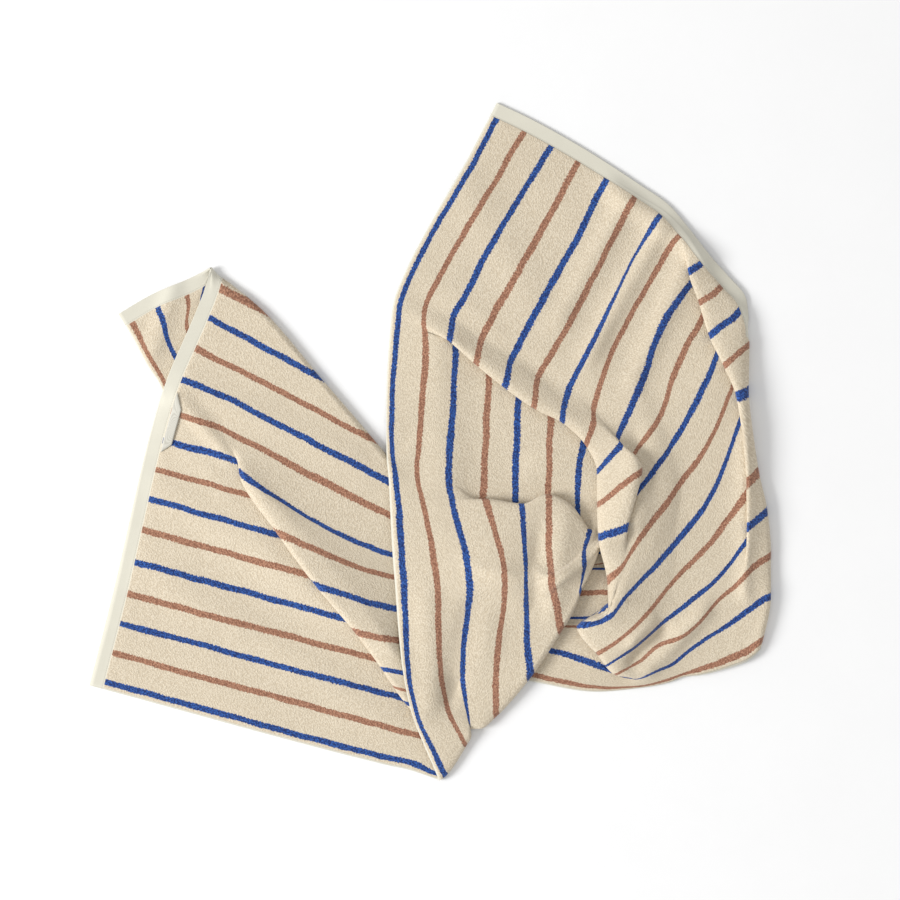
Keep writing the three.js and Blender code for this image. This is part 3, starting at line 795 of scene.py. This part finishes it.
def find_contacts(points, distances):
    """Where cloth lies over cloth: each point with the nearest triangles above and below."""
    columns, rows = points.shape[:2]
    flat = points.reshape(-1, 3)
    triangles = grid_triangles(columns, rows)
    tree = BVHTree.FromPolygons(flat.tolist(), triangles.tolist(), all_triangles=True)
    found = []
    for index, point in enumerate(flat):
        origin = Vector(point)
        for side, way in ((1, Vector((0, 0, -1))), (-1, Vector((0, 0, 1)))):
            hit, _, face, _ = tree.ray_cast(origin + way * RAY_START, way)
            while hit is not None and index in triangles[face]:
                hit, _, face, _ = tree.ray_cast(hit + way * RAY_START, way)
            if hit is not None:
                found.append((index, face, side))
    index, face, side = np.array(found).T
    corners = triangles[face]
    a, b, c = (flat[corners[:, n], :2] for n in range(3))
    p = flat[index, :2]
    area = cross(b - a, c - a)
    area = np.where(np.abs(area) < 1e-6, 1e-6, area)
    wb = cross(p - a, c - a) / area
    wc = cross(b - a, p - a) / area
    weights = np.clip(np.stack([1 - wb - wc, wb, wc], axis=1), 0, 1)
    weights /= weights.sum(axis=1, keepdims=True)
    step = STRIPE_PITCH * (LAST_EDGE - FIRST_EDGE) / (columns - 1)
    along = distances.ravel()
    across = np.repeat(np.arange(columns), rows) * step
    apart = np.hypot(
        along[index] - (weights * along[corners]).sum(axis=1),
        across[index] - (weights * across[corners]).sum(axis=1),
    )
    gap = np.minimum(LAYER_PITCH, apart * GAP_BY_DISTANCE)
    return index, corners, weights, side, gap


def cross(a, b):
    return a[:, 0] * b[:, 1] - a[:, 1] * b[:, 0]


def settle(points, heights, contacts, rounds, smoothing, pull):
    """Lets every layer rest on the ones under it, a layer's pitch apart, and smooths it.
    heights are where the layers start from, and points where the tables put them."""
    index, corners, weights, side, gap = contacts
    wanted = points[..., 2] * SETTLE_SAG
    along = np.maximum(np.linalg.norm(np.diff(points, axis=1), axis=2), 1)
    across = np.maximum(np.linalg.norm(np.diff(points, axis=0), axis=2), 1)
    floor = PILE_THICKNESS / 2
    places = np.concatenate([index, corners.ravel()])
    z = heights.copy()
    for n in range(rounds):
        total = np.zeros_like(z)
        weight = np.zeros_like(z)
        for share, near, here in (
            (1 / along, z[:, :-1], np.s_[:, 1:]),
            (1 / along, z[:, 1:], np.s_[:, :-1]),
            (1 / across, z[:-1], np.s_[1:]),
            (1 / across, z[1:], np.s_[:-1]),
        ):
            total[here] += near * share
            weight[here] += share
        amount = smoothing * (1 - n / rounds)
        z = mix(z, total / weight, amount) + pull * (wanted - z)
        for _ in range(CONTACT_STEPS):
            flat = np.maximum(z, floor).ravel()
            height = (weights * flat[corners]).sum(axis=1)
            missing = np.maximum(gap - side * (flat[index] - height), 0)
            move = side * missing / 2
            touching = (missing > 0).astype(float)
            moves = np.concatenate([move, (-move[:, None] * weights).ravel()])
            counts = np.concatenate([touching, (touching[:, None] * weights).ravel()])
            push = np.bincount(places, moves, len(flat))
            count = np.bincount(places, counts, len(flat))
            flat += CONTACT_REACH * push / np.maximum(count, 1)
            z = np.clip(flat.reshape(z.shape), floor, CEILING)
    return z


def bridge_hollows(z, contacts):
    """Lets the uncovered cloth span the hollows beside the edges of the layers under it."""
    index, _, _, side, _ = contacts
    uncovered = np.ones(z.size, bool)
    uncovered[index[side < 0]] = False
    uncovered = uncovered.reshape(z.shape)[1:-1, 1:-1]
    z = z.copy()
    for _ in range(BRIDGE_ROUNDS):
        around = (z[:-2, 1:-1] + z[2:, 1:-1] + z[1:-1, :-2] + z[1:-1, 2:]) / 4
        inner = z[1:-1, 1:-1]
        z[1:-1, 1:-1] = np.where(uncovered, np.maximum(inner, around), inner)
    return z


def grid_normals(points):
    across = np.gradient(points, axis=0)
    along = np.gradient(points, axis=1)
    normals = np.cross(across, along)
    return normals / np.maximum(np.linalg.norm(normals, axis=2, keepdims=True), 1e-9)


def closed_sheet(name, upper, lower, flat_places):
    """A closed body between two grids. flat_places holds each point's place on the flat cloth,
    in metres, and is kept as the piece's UV map."""
    columns, rows = upper.shape[:2]
    offset = columns * rows
    a = (np.arange(columns - 1)[:, None] * rows + np.arange(rows - 1)[None, :]).ravel()
    top = np.stack([a, a + rows, a + rows + 1, a + 1], axis=1)
    bottom = np.stack([a, a + 1, a + rows + 1, a + rows], axis=1) + offset
    c = np.arange(columns - 1) * rows
    d = c + rows - 1
    start = np.stack([c, c + offset, c + offset + rows, c + rows], axis=1)
    end = np.stack([d, d + rows, d + offset + rows, d + offset], axis=1)
    r = np.arange(rows - 1)
    s = r + (columns - 1) * rows
    first = np.stack([r, r + 1, r + offset + 1, r + offset], axis=1)
    last = np.stack([s, s + offset, s + offset + 1, s + 1], axis=1)
    faces = np.concatenate([top, bottom, start, end, first, last])
    vertices = np.concatenate([upper.reshape(-1, 3), lower.reshape(-1, 3)]) * MM
    mesh = bpy.data.meshes.new(name)
    mesh.from_pydata(vertices.tolist(), [], faces.tolist())
    places = np.concatenate([flat_places.reshape(-1, 2)] * 2)
    layer = mesh.uv_layers.new(name="cloth")
    layer.data.foreach_set("uv", places[faces.ravel()].astype(np.float32).ravel())
    mesh.polygons.foreach_set("use_smooth", [True] * len(faces))
    mesh.validate()
    mesh.update()
    piece = bpy.data.objects.new(name, mesh)
    bpy.context.collection.objects.link(piece)
    return piece


def finer(values):
    """A value for each fine column, from one for each coarse column."""
    steps = np.arange((len(values) - 1) * FINE_COLUMNS + 1) / FINE_COLUMNS
    return np.interp(steps, np.arange(len(values)), values)


def fine_lift(lift, coarse_distances, marks, counts):
    """The coarse grid's lift, read at the fine grid's places."""
    lines = []
    for column, distances, own_marks in zip(lift, coarse_distances, marks):
        lines.append(np.interp(fine_rows(own_marks, counts), distances, column))
    return np.array([finer(row) for row in np.array(lines).T]).T


def fine_cloth():
    """The cloth settled on the coarse grid, then laid out and settled on the fine one."""
    stripes = towel_columns()
    coarse, coarse_distances = lay_out(stripes, coarse_rows)
    contacts = find_contacts(coarse, coarse_distances)
    heights = settle(
        coarse, coarse[..., 2], contacts, SETTLE_ROUNDS, SETTLE_SMOOTHING, SETTLE_PULL)
    marks = coarse_distances[:, np.cumsum((0,) + ROWS_BETWEEN)]
    counts = fine_row_counts(marks)
    fine_stripes = finer(stripes)
    points, distances = lay_out(fine_stripes, lambda own_marks: fine_rows(own_marks, counts))
    lift = fine_lift(heights - coarse[..., 2], coarse_distances, marks, counts)
    contacts = find_contacts(points, distances)
    heights = points[..., 2] + lift
    points[..., 2] = settle(points, heights, contacts, FINE_ROUNDS, FINE_SMOOTHING, FINE_PULL)
    return fine_stripes, points, distances


def flat_places(stripes, distances):
    """Each grid point's place on the flat towel, in metres, with both hems at true width."""
    across = (stripes - FIRST_EDGE) * STRIPE_PITCH
    total = distances[:, -1:]
    from_end = TOWEL_LENGTH - (total - distances)
    along = mix(distances, from_end, eased(distances / total))
    return np.stack([np.repeat(across[:, None], distances.shape[1], 1), along], axis=-1) * MM


def rise(value, start, end):
    """0 up to start and 1 from end on, with a soft step between."""
    return eased(np.clip((value - start) / (end - start), 0, 1))


def half_thickness(places):
    """Half the cloth's thickness: full in the pile, thinner in the hems and the selvedges."""
    across = places[..., 0] / MM
    along = places[..., 1] / MM
    from_side = np.minimum(across, TOWEL_WIDTH - across)
    from_end = np.minimum(along, TOWEL_LENGTH - along)
    past_hem = rise(from_end, HEM_WIDTH - 1, HEM_WIDTH + STEP_AT_HEM)
    past_selvedge = rise(from_side, SELVEDGE, SELVEDGE + STEP_AT_SELVEDGE)
    return mix(HEM_THICKNESS, PILE_THICKNESS, past_hem * past_selvedge) / 2


def blunt_peaks(z):
    """Lowers each point that stands up sharply over the cloth around it."""
    z = z.copy()
    for _ in range(BLUNTING_ROUNDS):
        around = (z[:-2, 1:-1] + z[2:, 1:-1] + z[1:-1, :-2] + z[1:-1, 2:]) / 4
        z[1:-1, 1:-1] = np.minimum(z[1:-1, 1:-1], around + SHARPEST_PEAK)
    return z


def soft_relief(points):
    """The height of the soft ridges and troughs of the table at each point, seen from above."""
    height = np.zeros(points.shape[:2])
    for start_x, start_y, end_x, end_y, top, half_width in SOFT_FOLDS.values():
        start = np.array([start_x, start_y], float)
        way = np.array([end_x, end_y], float) - start
        length = np.linalg.norm(way)
        way /= length
        offset = points[..., :2] - start
        along = offset @ way
        aside = offset[..., 0] * way[1] - offset[..., 1] * way[0]
        past = np.maximum(np.maximum(-along, along - length), 0)
        fade = (aside / half_width) ** 2 + (past / (FADE_AT_ENDS * half_width)) ** 2
        height += top * np.exp(-fade)
    return height


def finished_cloth():
    """The middle surface of the fine cloth, with the soft ridges and troughs laid in."""
    stripes, points, distances = fine_cloth()
    contacts = find_contacts(points, distances)
    heights = bridge_hollows(points[..., 2], contacts) + soft_relief(points)
    heights = np.maximum(heights, PILE_THICKNESS / 2)
    points[..., 2] = heights
    heights = settle(points, heights, contacts, RELIEF_ROUNDS, RELIEF_SMOOTHING, 0)
    points[..., 2] = blunt_peaks(heights)
    return stripes, points, distances


def towel_piece(middle, places):
    normals = grid_normals(middle)
    half = half_thickness(places)[..., None]
    upper = middle + normals * half
    lower = middle - normals * half
    for grid in (upper, lower):
        grid[..., 2] = np.maximum(grid[..., 2], 0)
    return closed_sheet("towel_terry", upper - SHIFT, lower - SHIFT, places)


def cloth_point(stripe, distance):
    """A place on the fine cloth's middle surface and the normal there."""
    at = np.interp(stripe, stripes, np.arange(len(stripes)))
    column = int(min(at, len(stripes) - 2))
    found = []
    for n in (column, column + 1):
        row = np.interp(distance, distances[n], np.arange(distances.shape[1]))
        first = int(min(row, distances.shape[1] - 2))
        found.append((mix(middle[n, first], middle[n, first + 1], row - first),
                      mix(normals[n, first], normals[n, first + 1], row - first)))
    share = at - column
    return mix(found[0][0], found[1][0], share), unit(mix(found[0][1], found[1][1], share))


def ribbon_piece():
    """The hanging loop: a flat ribbon along the seam of the hem, with slanted ends. The side
    of the cloth that shows here is the one that its normals point away from."""
    upper = []
    lower = []
    places = []
    for n in range(RIBBON_STEPS + 1):
        along = n / RIBBON_STEPS
        seam = mix(LOOP_SEAM[0], LOOP_SEAM[1], along)
        free = mix(LOOP_FREE[0], LOOP_FREE[1], along)
        bulge = math.sin(math.pi * along) * RIBBON_BULGE
        for grid in (upper, lower, places):
            grid.append([])
        for m in range(RIBBON_COLUMNS + 1):
            across = m / RIBBON_COLUMNS
            stripe = mix(seam, free, across)
            distance = HEM_WIDTH + 1 + across * LOOP_WIDTH
            point, normal = cloth_point(stripe, distance)
            from_edge = min(n, RIBBON_STEPS - n, m, RIBBON_COLUMNS - m)
            half = (LOOP_EDGE_THICKNESS if from_edge == 0 else LOOP_THICKNESS) / 2
            centre = point - normal * (PILE_THICKNESS / 2 + LOOP_LIFT + bulge * across)
            upper[-1].append(centre - normal * half)
            lower[-1].append(centre + normal * half)
            places[-1].append(((stripe - seam) * STRIPE_PITCH * MM, distance * MM))
    lower, upper = np.array(lower), np.array(upper)
    return closed_sheet("loop_ribbon", lower - SHIFT, upper - SHIFT, np.array(places))


stripes, middle, distances = finished_cloth()
normals = grid_normals(middle)
places = flat_places(stripes, distances)
footprint = middle.reshape(-1, 3)
SHIFT = (footprint.min(axis=0) + footprint.max(axis=0)) / 2
SHIFT[2] = 0
towel = towel_piece(middle, places)
ribbon = ribbon_piece()
camera.location = (
    (FRAME_CENTRE[0] - SHIFT[0]) * MM,
    (FRAME_CENTRE[1] - SHIFT[1]) * MM,
    CAMERA_HEIGHT * MM,
)


class Nodes:
    """Short calls for the nodes of one material or one node group."""

    def __init__(self, tree):
        self.tree = tree

    def add(self, kind, settings=None, **inputs):
        made = self.tree.nodes.new(kind)
        for name, value in (settings or {}).items():
            setattr(made, name, value)
        for name, value in inputs.items():
            self.feed(made.inputs[name.replace("_", " ")], value)
        return made

    def feed(self, socket, value):
        if hasattr(value, "links"):
            self.tree.links.new(value, socket)
        else:
            socket.default_value = value

    def maths(self, operation, first, second=0.0, third=0.0):
        made = self.tree.nodes.new("ShaderNodeMath")
        made.operation = operation
        for socket, value in zip(made.inputs, (first, second, third)):
            self.feed(socket, value)
        return made.outputs[0]

    def mask(self, value, start, end):
        """0 where value is at or below start, 1 at or above end."""
        made = self.add("ShaderNodeMapRange", {"interpolation_type": "SMOOTHSTEP"},
                        Value=value, From_Min=start, From_Max=end)
        return made.outputs["Result"]

    def noise(self, place, scale, detail=2.0, roughness=0.5):
        made = self.add("ShaderNodeTexNoise", Vector=place, Scale=scale, Detail=detail,
                        Roughness=roughness)
        return made.outputs["Fac"]

    def blend(self, share, first, second):
        """A colour between two others, by a share from 0 to 1."""
        made = self.tree.nodes.new("ShaderNodeMix")
        made.data_type = "RGBA"
        self.feed(made.inputs["Factor"], share)
        self.feed(made.inputs[6], first)
        self.feed(made.inputs[7], second)
        return made.outputs[2]

    def group(self, group, **inputs):
        return self.add("ShaderNodeGroup", {"node_tree": group}, **inputs).outputs


def new_group(name, inputs, outputs):
    """A node group with named inputs and outputs, and the nodes at both of its ends."""
    group = bpy.data.node_groups.new(name, "ShaderNodeTree")
    for label, kind, value in inputs:
        socket = group.interface.new_socket(name=label, in_out="INPUT", socket_type=kind)
        if value is not None:
            socket.default_value = value
    for label, kind in outputs:
        group.interface.new_socket(name=label, in_out="OUTPUT", socket_type=kind)
    nodes = Nodes(group)
    start = group.nodes.new("NodeGroupInput")
    end = group.nodes.new("NodeGroupOutput")
    return group, nodes, start.outputs, end.inputs


def plain_weave_group():
    """Threads that pass over and under each other, as a height and as painted shading: light on
    the raised threads and shade where they dip.
    """
    group, nodes, given, wanted = new_group(
        "plain weave",
        (("Place", "NodeSocketVector", None), ("Thread Pitch", "NodeSocketFloat", 0.001)),
        (("Height", "NodeSocketFloat"), ("Painted Shading", "NodeSocketFloat")),
    )
    wobble = nodes.noise(given["Place"], 120.0)
    split = nodes.add("ShaderNodeSeparateXYZ", Vector=given["Place"]).outputs
    waves = []
    for axis in ("X", "Y"):
        turns = nodes.maths("DIVIDE", split[axis], given["Thread Pitch"])
        turns = nodes.maths("MULTIPLY_ADD", wobble, 0.5, turns)
        waves.append(nodes.maths("SINE", nodes.maths("MULTIPLY", turns, math.pi)))
    crossing = nodes.maths("MULTIPLY", waves[0], waves[1])
    height = nodes.maths("MULTIPLY_ADD", crossing, 0.5, 0.5)
    nodes.feed(wanted["Height"], height)
    nodes.feed(wanted["Painted Shading"], nodes.mask(height, 0.0, 0.7))
    return group


def cotton_tone_group():
    """Slow changes of tone over cotton, as a factor near 1 for its colour."""
    group, nodes, given, wanted = new_group(
        "cotton tone",
        (("Place", "NodeSocketVector", None), ("Amount", "NodeSocketFloat", 0.05)),
        (("Tone", "NodeSocketFloat"),),
    )
    broad = nodes.noise(given["Place"], 9.0)
    close = nodes.noise(given["Place"], 60.0)
    both = nodes.maths("MULTIPLY_ADD", close, 0.6, nodes.maths("MULTIPLY", broad, 1.4))
    swing = nodes.maths("MULTIPLY", nodes.maths("SUBTRACT", both, 1.0), given["Amount"])
    nodes.feed(wanted["Tone"], nodes.maths("ADD", swing, 1.0))
    return group


def new_material(name):
    material = bpy.data.materials.new(name)
    material.use_nodes = True
    nodes = Nodes(material.node_tree)
    return material, nodes, material.node_tree.nodes["Principled BSDF"].inputs


def flat_place(nodes):
    return nodes.add("ShaderNodeUVMap", {"uv_map": "cloth"}).outputs["UV"]


def toned(nodes, colour, tone):
    """A colour made lighter or darker by a factor."""
    made = nodes.tree.nodes.new("ShaderNodeVectorMath")
    made.operation = "SCALE"
    nodes.feed(made.inputs[0], colour)
    nodes.feed(made.inputs["Scale"], tone)
    return made.outputs[0]


def stripe_masks(nodes, place):
    """Where the stripes are and which of them are blue, with the place across and along."""
    split = nodes.add("ShaderNodeSeparateXYZ", Vector=place).outputs
    wander = nodes.maths("SUBTRACT", nodes.noise(place, STRIPE_WANDERS_PER_METRE, 1.0), 0.5)
    ragged = nodes.maths("SUBTRACT", nodes.noise(place, STRIPE_RAGS_PER_METRE, 1.0), 0.5)
    across = nodes.maths("MULTIPLY_ADD", wander, STRIPE_WANDER * MM, split["X"])
    first = (1 - FIRST_EDGE) * STRIPE_PITCH * MM
    pitch = STRIPE_PITCH * MM
    turns = nodes.maths("DIVIDE", nodes.maths("ADD", across, pitch / 2 - first), pitch)
    beside = nodes.maths("ABSOLUTE", nodes.maths("SUBTRACT", nodes.maths("FRACT", turns), 0.5))
    beside = nodes.maths("MULTIPLY", beside, pitch)
    beside = nodes.maths("MULTIPLY_ADD", ragged, STRIPE_RAGGEDNESS * MM, beside)
    half = STRIPE_WIDTH * MM / 2
    blur = STRIPE_EDGE_BLUR * MM
    stripe = nodes.maths("SUBTRACT", 1, nodes.mask(beside, half - blur, half + blur))
    blue = nodes.maths("LESS_THAN", nodes.maths("FRACT", nodes.maths("DIVIDE", turns, 2)), 0.5)
    return stripe, blue, split


def from_nearer_edge(nodes, value, size):
    return nodes.maths("MINIMUM", value, nodes.maths("SUBTRACT", size * MM, value))


def past_edge(nodes, from_edge, width):
    """0 in a flat woven edge of the given width and 1 past it, in the pile."""
    return nodes.mask(from_edge, (width - WOVEN_EDGE_BLUR) * MM, (width + WOVEN_EDGE_BLUR) * MM)


def stitch_mask(nodes, from_end, across):
    """The row of stitches that holds each hem."""
    off_row = nodes.maths("ABSOLUTE", nodes.maths("SUBTRACT", from_end, HEM_STITCH_LINE * MM))
    inner, outer = HEM_STITCH_HALF_WIDTHS
    row = nodes.mask(off_row, outer * MM, inner * MM)
    stitch = nodes.maths("FRACT", nodes.maths("DIVIDE", across, HEM_STITCH_PITCH * MM))
    return nodes.maths("MULTIPLY", row, nodes.maths("LESS_THAN", stitch, HEM_STITCH_SHARE))


def terry_material(weave, tone):
    """Looped cotton with blue and rose-brown stripes, and its flat woven hems."""
    material, nodes, shader = new_material("striped_terry")
    place = flat_place(nodes)
    stripe, blue, split = stripe_masks(nodes, place)
    from_end = from_nearer_edge(nodes, split["Y"], TOWEL_LENGTH)
    from_side = from_nearer_edge(nodes, split["X"], TOWEL_WIDTH)
    past_hem = past_edge(nodes, from_end, HEM_WIDTH)
    pile = nodes.maths("MULTIPLY", past_hem, past_edge(nodes, from_side, SELVEDGE))
    stripe = nodes.maths("MULTIPLY", stripe, past_hem)

    slanted = nodes.add("ShaderNodeMapping", Vector=place, Rotation=(0, 0, PILE_SLANT),
                        Scale=(1, PILE_STRETCH, 1)).outputs["Vector"]
    loops = nodes.add("ShaderNodeTexVoronoi", {"feature": "SMOOTH_F1"}, Vector=slanted,
                      Scale=1 / (PILE_LOOP_PITCH * MM), Smoothness=0.6, Randomness=0.9)
    # The loop crowns and the tufts are also the pile's height, so in the colour they paint
    # light on the raised pile and shade between the loops.
    crown = nodes.maths("SUBTRACT", 1.0, loops.outputs["Distance"])
    tufts = nodes.noise(slanted, PILE_TUFTS_PER_METRE, 2.0, 0.6)
    swing = nodes.maths("SUBTRACT", tufts, 0.5)
    lit_crowns_and_tufts = nodes.maths("MULTIPLY_ADD", swing, TUFT_CONTRAST, crown)
    # light is 1 where the pile is painted lit and 0 where it is painted in shade.
    light = nodes.mask(lit_crowns_and_tufts, 0.2, 1.0)

    woven = nodes.group(weave, Place=place, Thread_Pitch=HEM_THREAD * MM)
    stitch = stitch_mask(nodes, from_end, split["X"])

    # Each of these colours is painted light on the raised pile and painted shade between the
    # loops.
    cream = nodes.blend(light, CREAM_PAINTED_SHADE, CREAM)
    brown = nodes.blend(light, BROWN_PAINTED_SHADE, BROWN)
    navy = nodes.blend(light, BLUE_PAINTED_SHADE, BLUE)
    # The hem is painted light on its raised threads and painted shade where they dip.
    hem = nodes.blend(woven["Painted Shading"], HEM_PAINTED_SHADE, HEM_CREAM)
    # The stitches are coloured with the hem's painted shade, as shade in their groove.
    hem = nodes.blend(stitch, hem, HEM_PAINTED_SHADE)
    ground = nodes.blend(pile, hem, cream)
    colour = nodes.blend(stripe, ground, nodes.blend(blue, brown, navy))
    slow = nodes.group(tone, Place=place, Amount=0.10)["Tone"]
    nodes.feed(shader["Base Color"], toned(nodes, colour, slow))

    pile_height = nodes.maths("MULTIPLY", crown, pile)
    woven_height = nodes.maths("MULTIPLY", woven["Height"], nodes.maths("SUBTRACT", 1, pile))
    tuft_height = nodes.maths("MULTIPLY", pile, TUFT_RELIEF)
    height = nodes.maths("MULTIPLY_ADD", woven_height, WOVEN_RELIEF, pile_height)
    height = nodes.maths("MULTIPLY_ADD", tufts, tuft_height, height)
    height = nodes.maths("MULTIPLY_ADD", stitch, -STITCH_DEPTH, height)
    bump = nodes.add("ShaderNodeBump", Height=height, Strength=0.8, Distance=PILE_BUMP * MM)
    nodes.feed(shader["Normal"], bump.outputs["Normal"])
    nodes.feed(shader["Roughness"], nodes.maths("MULTIPLY_ADD", light, 0.08, 0.88))
    shader["Sheen Weight"].default_value = 0.25
    shader["Sheen Roughness"].default_value = 0.6
    shader["Specular IOR Level"].default_value = 0.15
    return material


def ribbon_material(weave, tone):
    """The hanging loop's plain woven ribbon, with no lettering."""
    material, nodes, shader = new_material("plain_ribbon")
    place = flat_place(nodes)
    woven = nodes.group(weave, Place=place, Thread_Pitch=RIBBON_THREAD * MM)
    # The ribbon is painted light on its raised threads and painted shade where they dip.
    colour = nodes.blend(woven["Painted Shading"], RIBBON_PAINTED_SHADE, RIBBON_WHITE)
    slow = nodes.group(tone, Place=place, Amount=0.06)["Tone"]
    nodes.feed(shader["Base Color"], toned(nodes, colour, slow))
    bump = nodes.add("ShaderNodeBump", Height=woven["Height"], Strength=0.5,
                     Distance=RIBBON_BUMP * MM)
    nodes.feed(shader["Normal"], bump.outputs["Normal"])
    nodes.feed(shader["Roughness"], nodes.maths("MULTIPLY_ADD", woven["Painted Shading"], -0.1, 0.75))
    shader["Sheen Weight"].default_value = 0.15
    shader["Specular IOR Level"].default_value = 0.3
    return material


def floor_material(tone):
    material, nodes, shader = new_material("pale_floor")
    place = nodes.add("ShaderNodeTexCoord").outputs["Object"]
    slow = nodes.group(tone, Place=place, Amount=0.02)["Tone"]
    nodes.feed(shader["Base Color"], toned(nodes, FLOOR_WHITE, slow))
    shader["Roughness"].default_value = 0.9
    return material


def make_floor(material):
    mesh = bpy.data.meshes.new("floor")
    sides = ((-1, -1), (1, -1), (1, 1), (-1, 1))
    corners = [(x * FLOOR_HALF, y * FLOOR_HALF, 0) for x, y in sides]
    mesh.from_pydata(corners, [], [(0, 1, 2, 3)])
    mesh.materials.append(material)
    floor = bpy.data.objects.new("floor", mesh)
    floor.location.z = -FLOOR_DROP
    bpy.context.collection.objects.link(floor)


def make_light(name, place, size, power):
    data = bpy.data.lights.new(name, "AREA")
    data.shape = "DISK"
    data.size = size
    data.energy = power
    light = bpy.data.objects.new(name, data)
    light.location = place
    light.rotation_mode = "QUATERNION"
    light.rotation_quaternion = (-Vector(place)).to_track_quat("-Z", "Y")
    bpy.context.collection.objects.link(light)


def make_studio():
    make_light("key", KEY_PLACE, KEY_SIZE, KEY_POWER)
    world = bpy.data.worlds.new("studio")
    world.use_nodes = True
    sky = world.node_tree.nodes["Background"].inputs
    sky["Color"].default_value = (1, 1, 1, 1)
    sky["Strength"].default_value = SKY_STRENGTH
    bpy.context.scene.world = world
    bpy.context.scene.view_settings.view_transform = "Standard"


weave = plain_weave_group()
tone = cotton_tone_group()
towel.data.materials.append(terry_material(weave, tone))
ribbon.data.materials.append(ribbon_material(weave, tone))
make_floor(floor_material(tone))
make_studio()

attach(towel, "root")
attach(ribbon, "root")
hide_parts("towel_cloth")
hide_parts("hanging_loop")
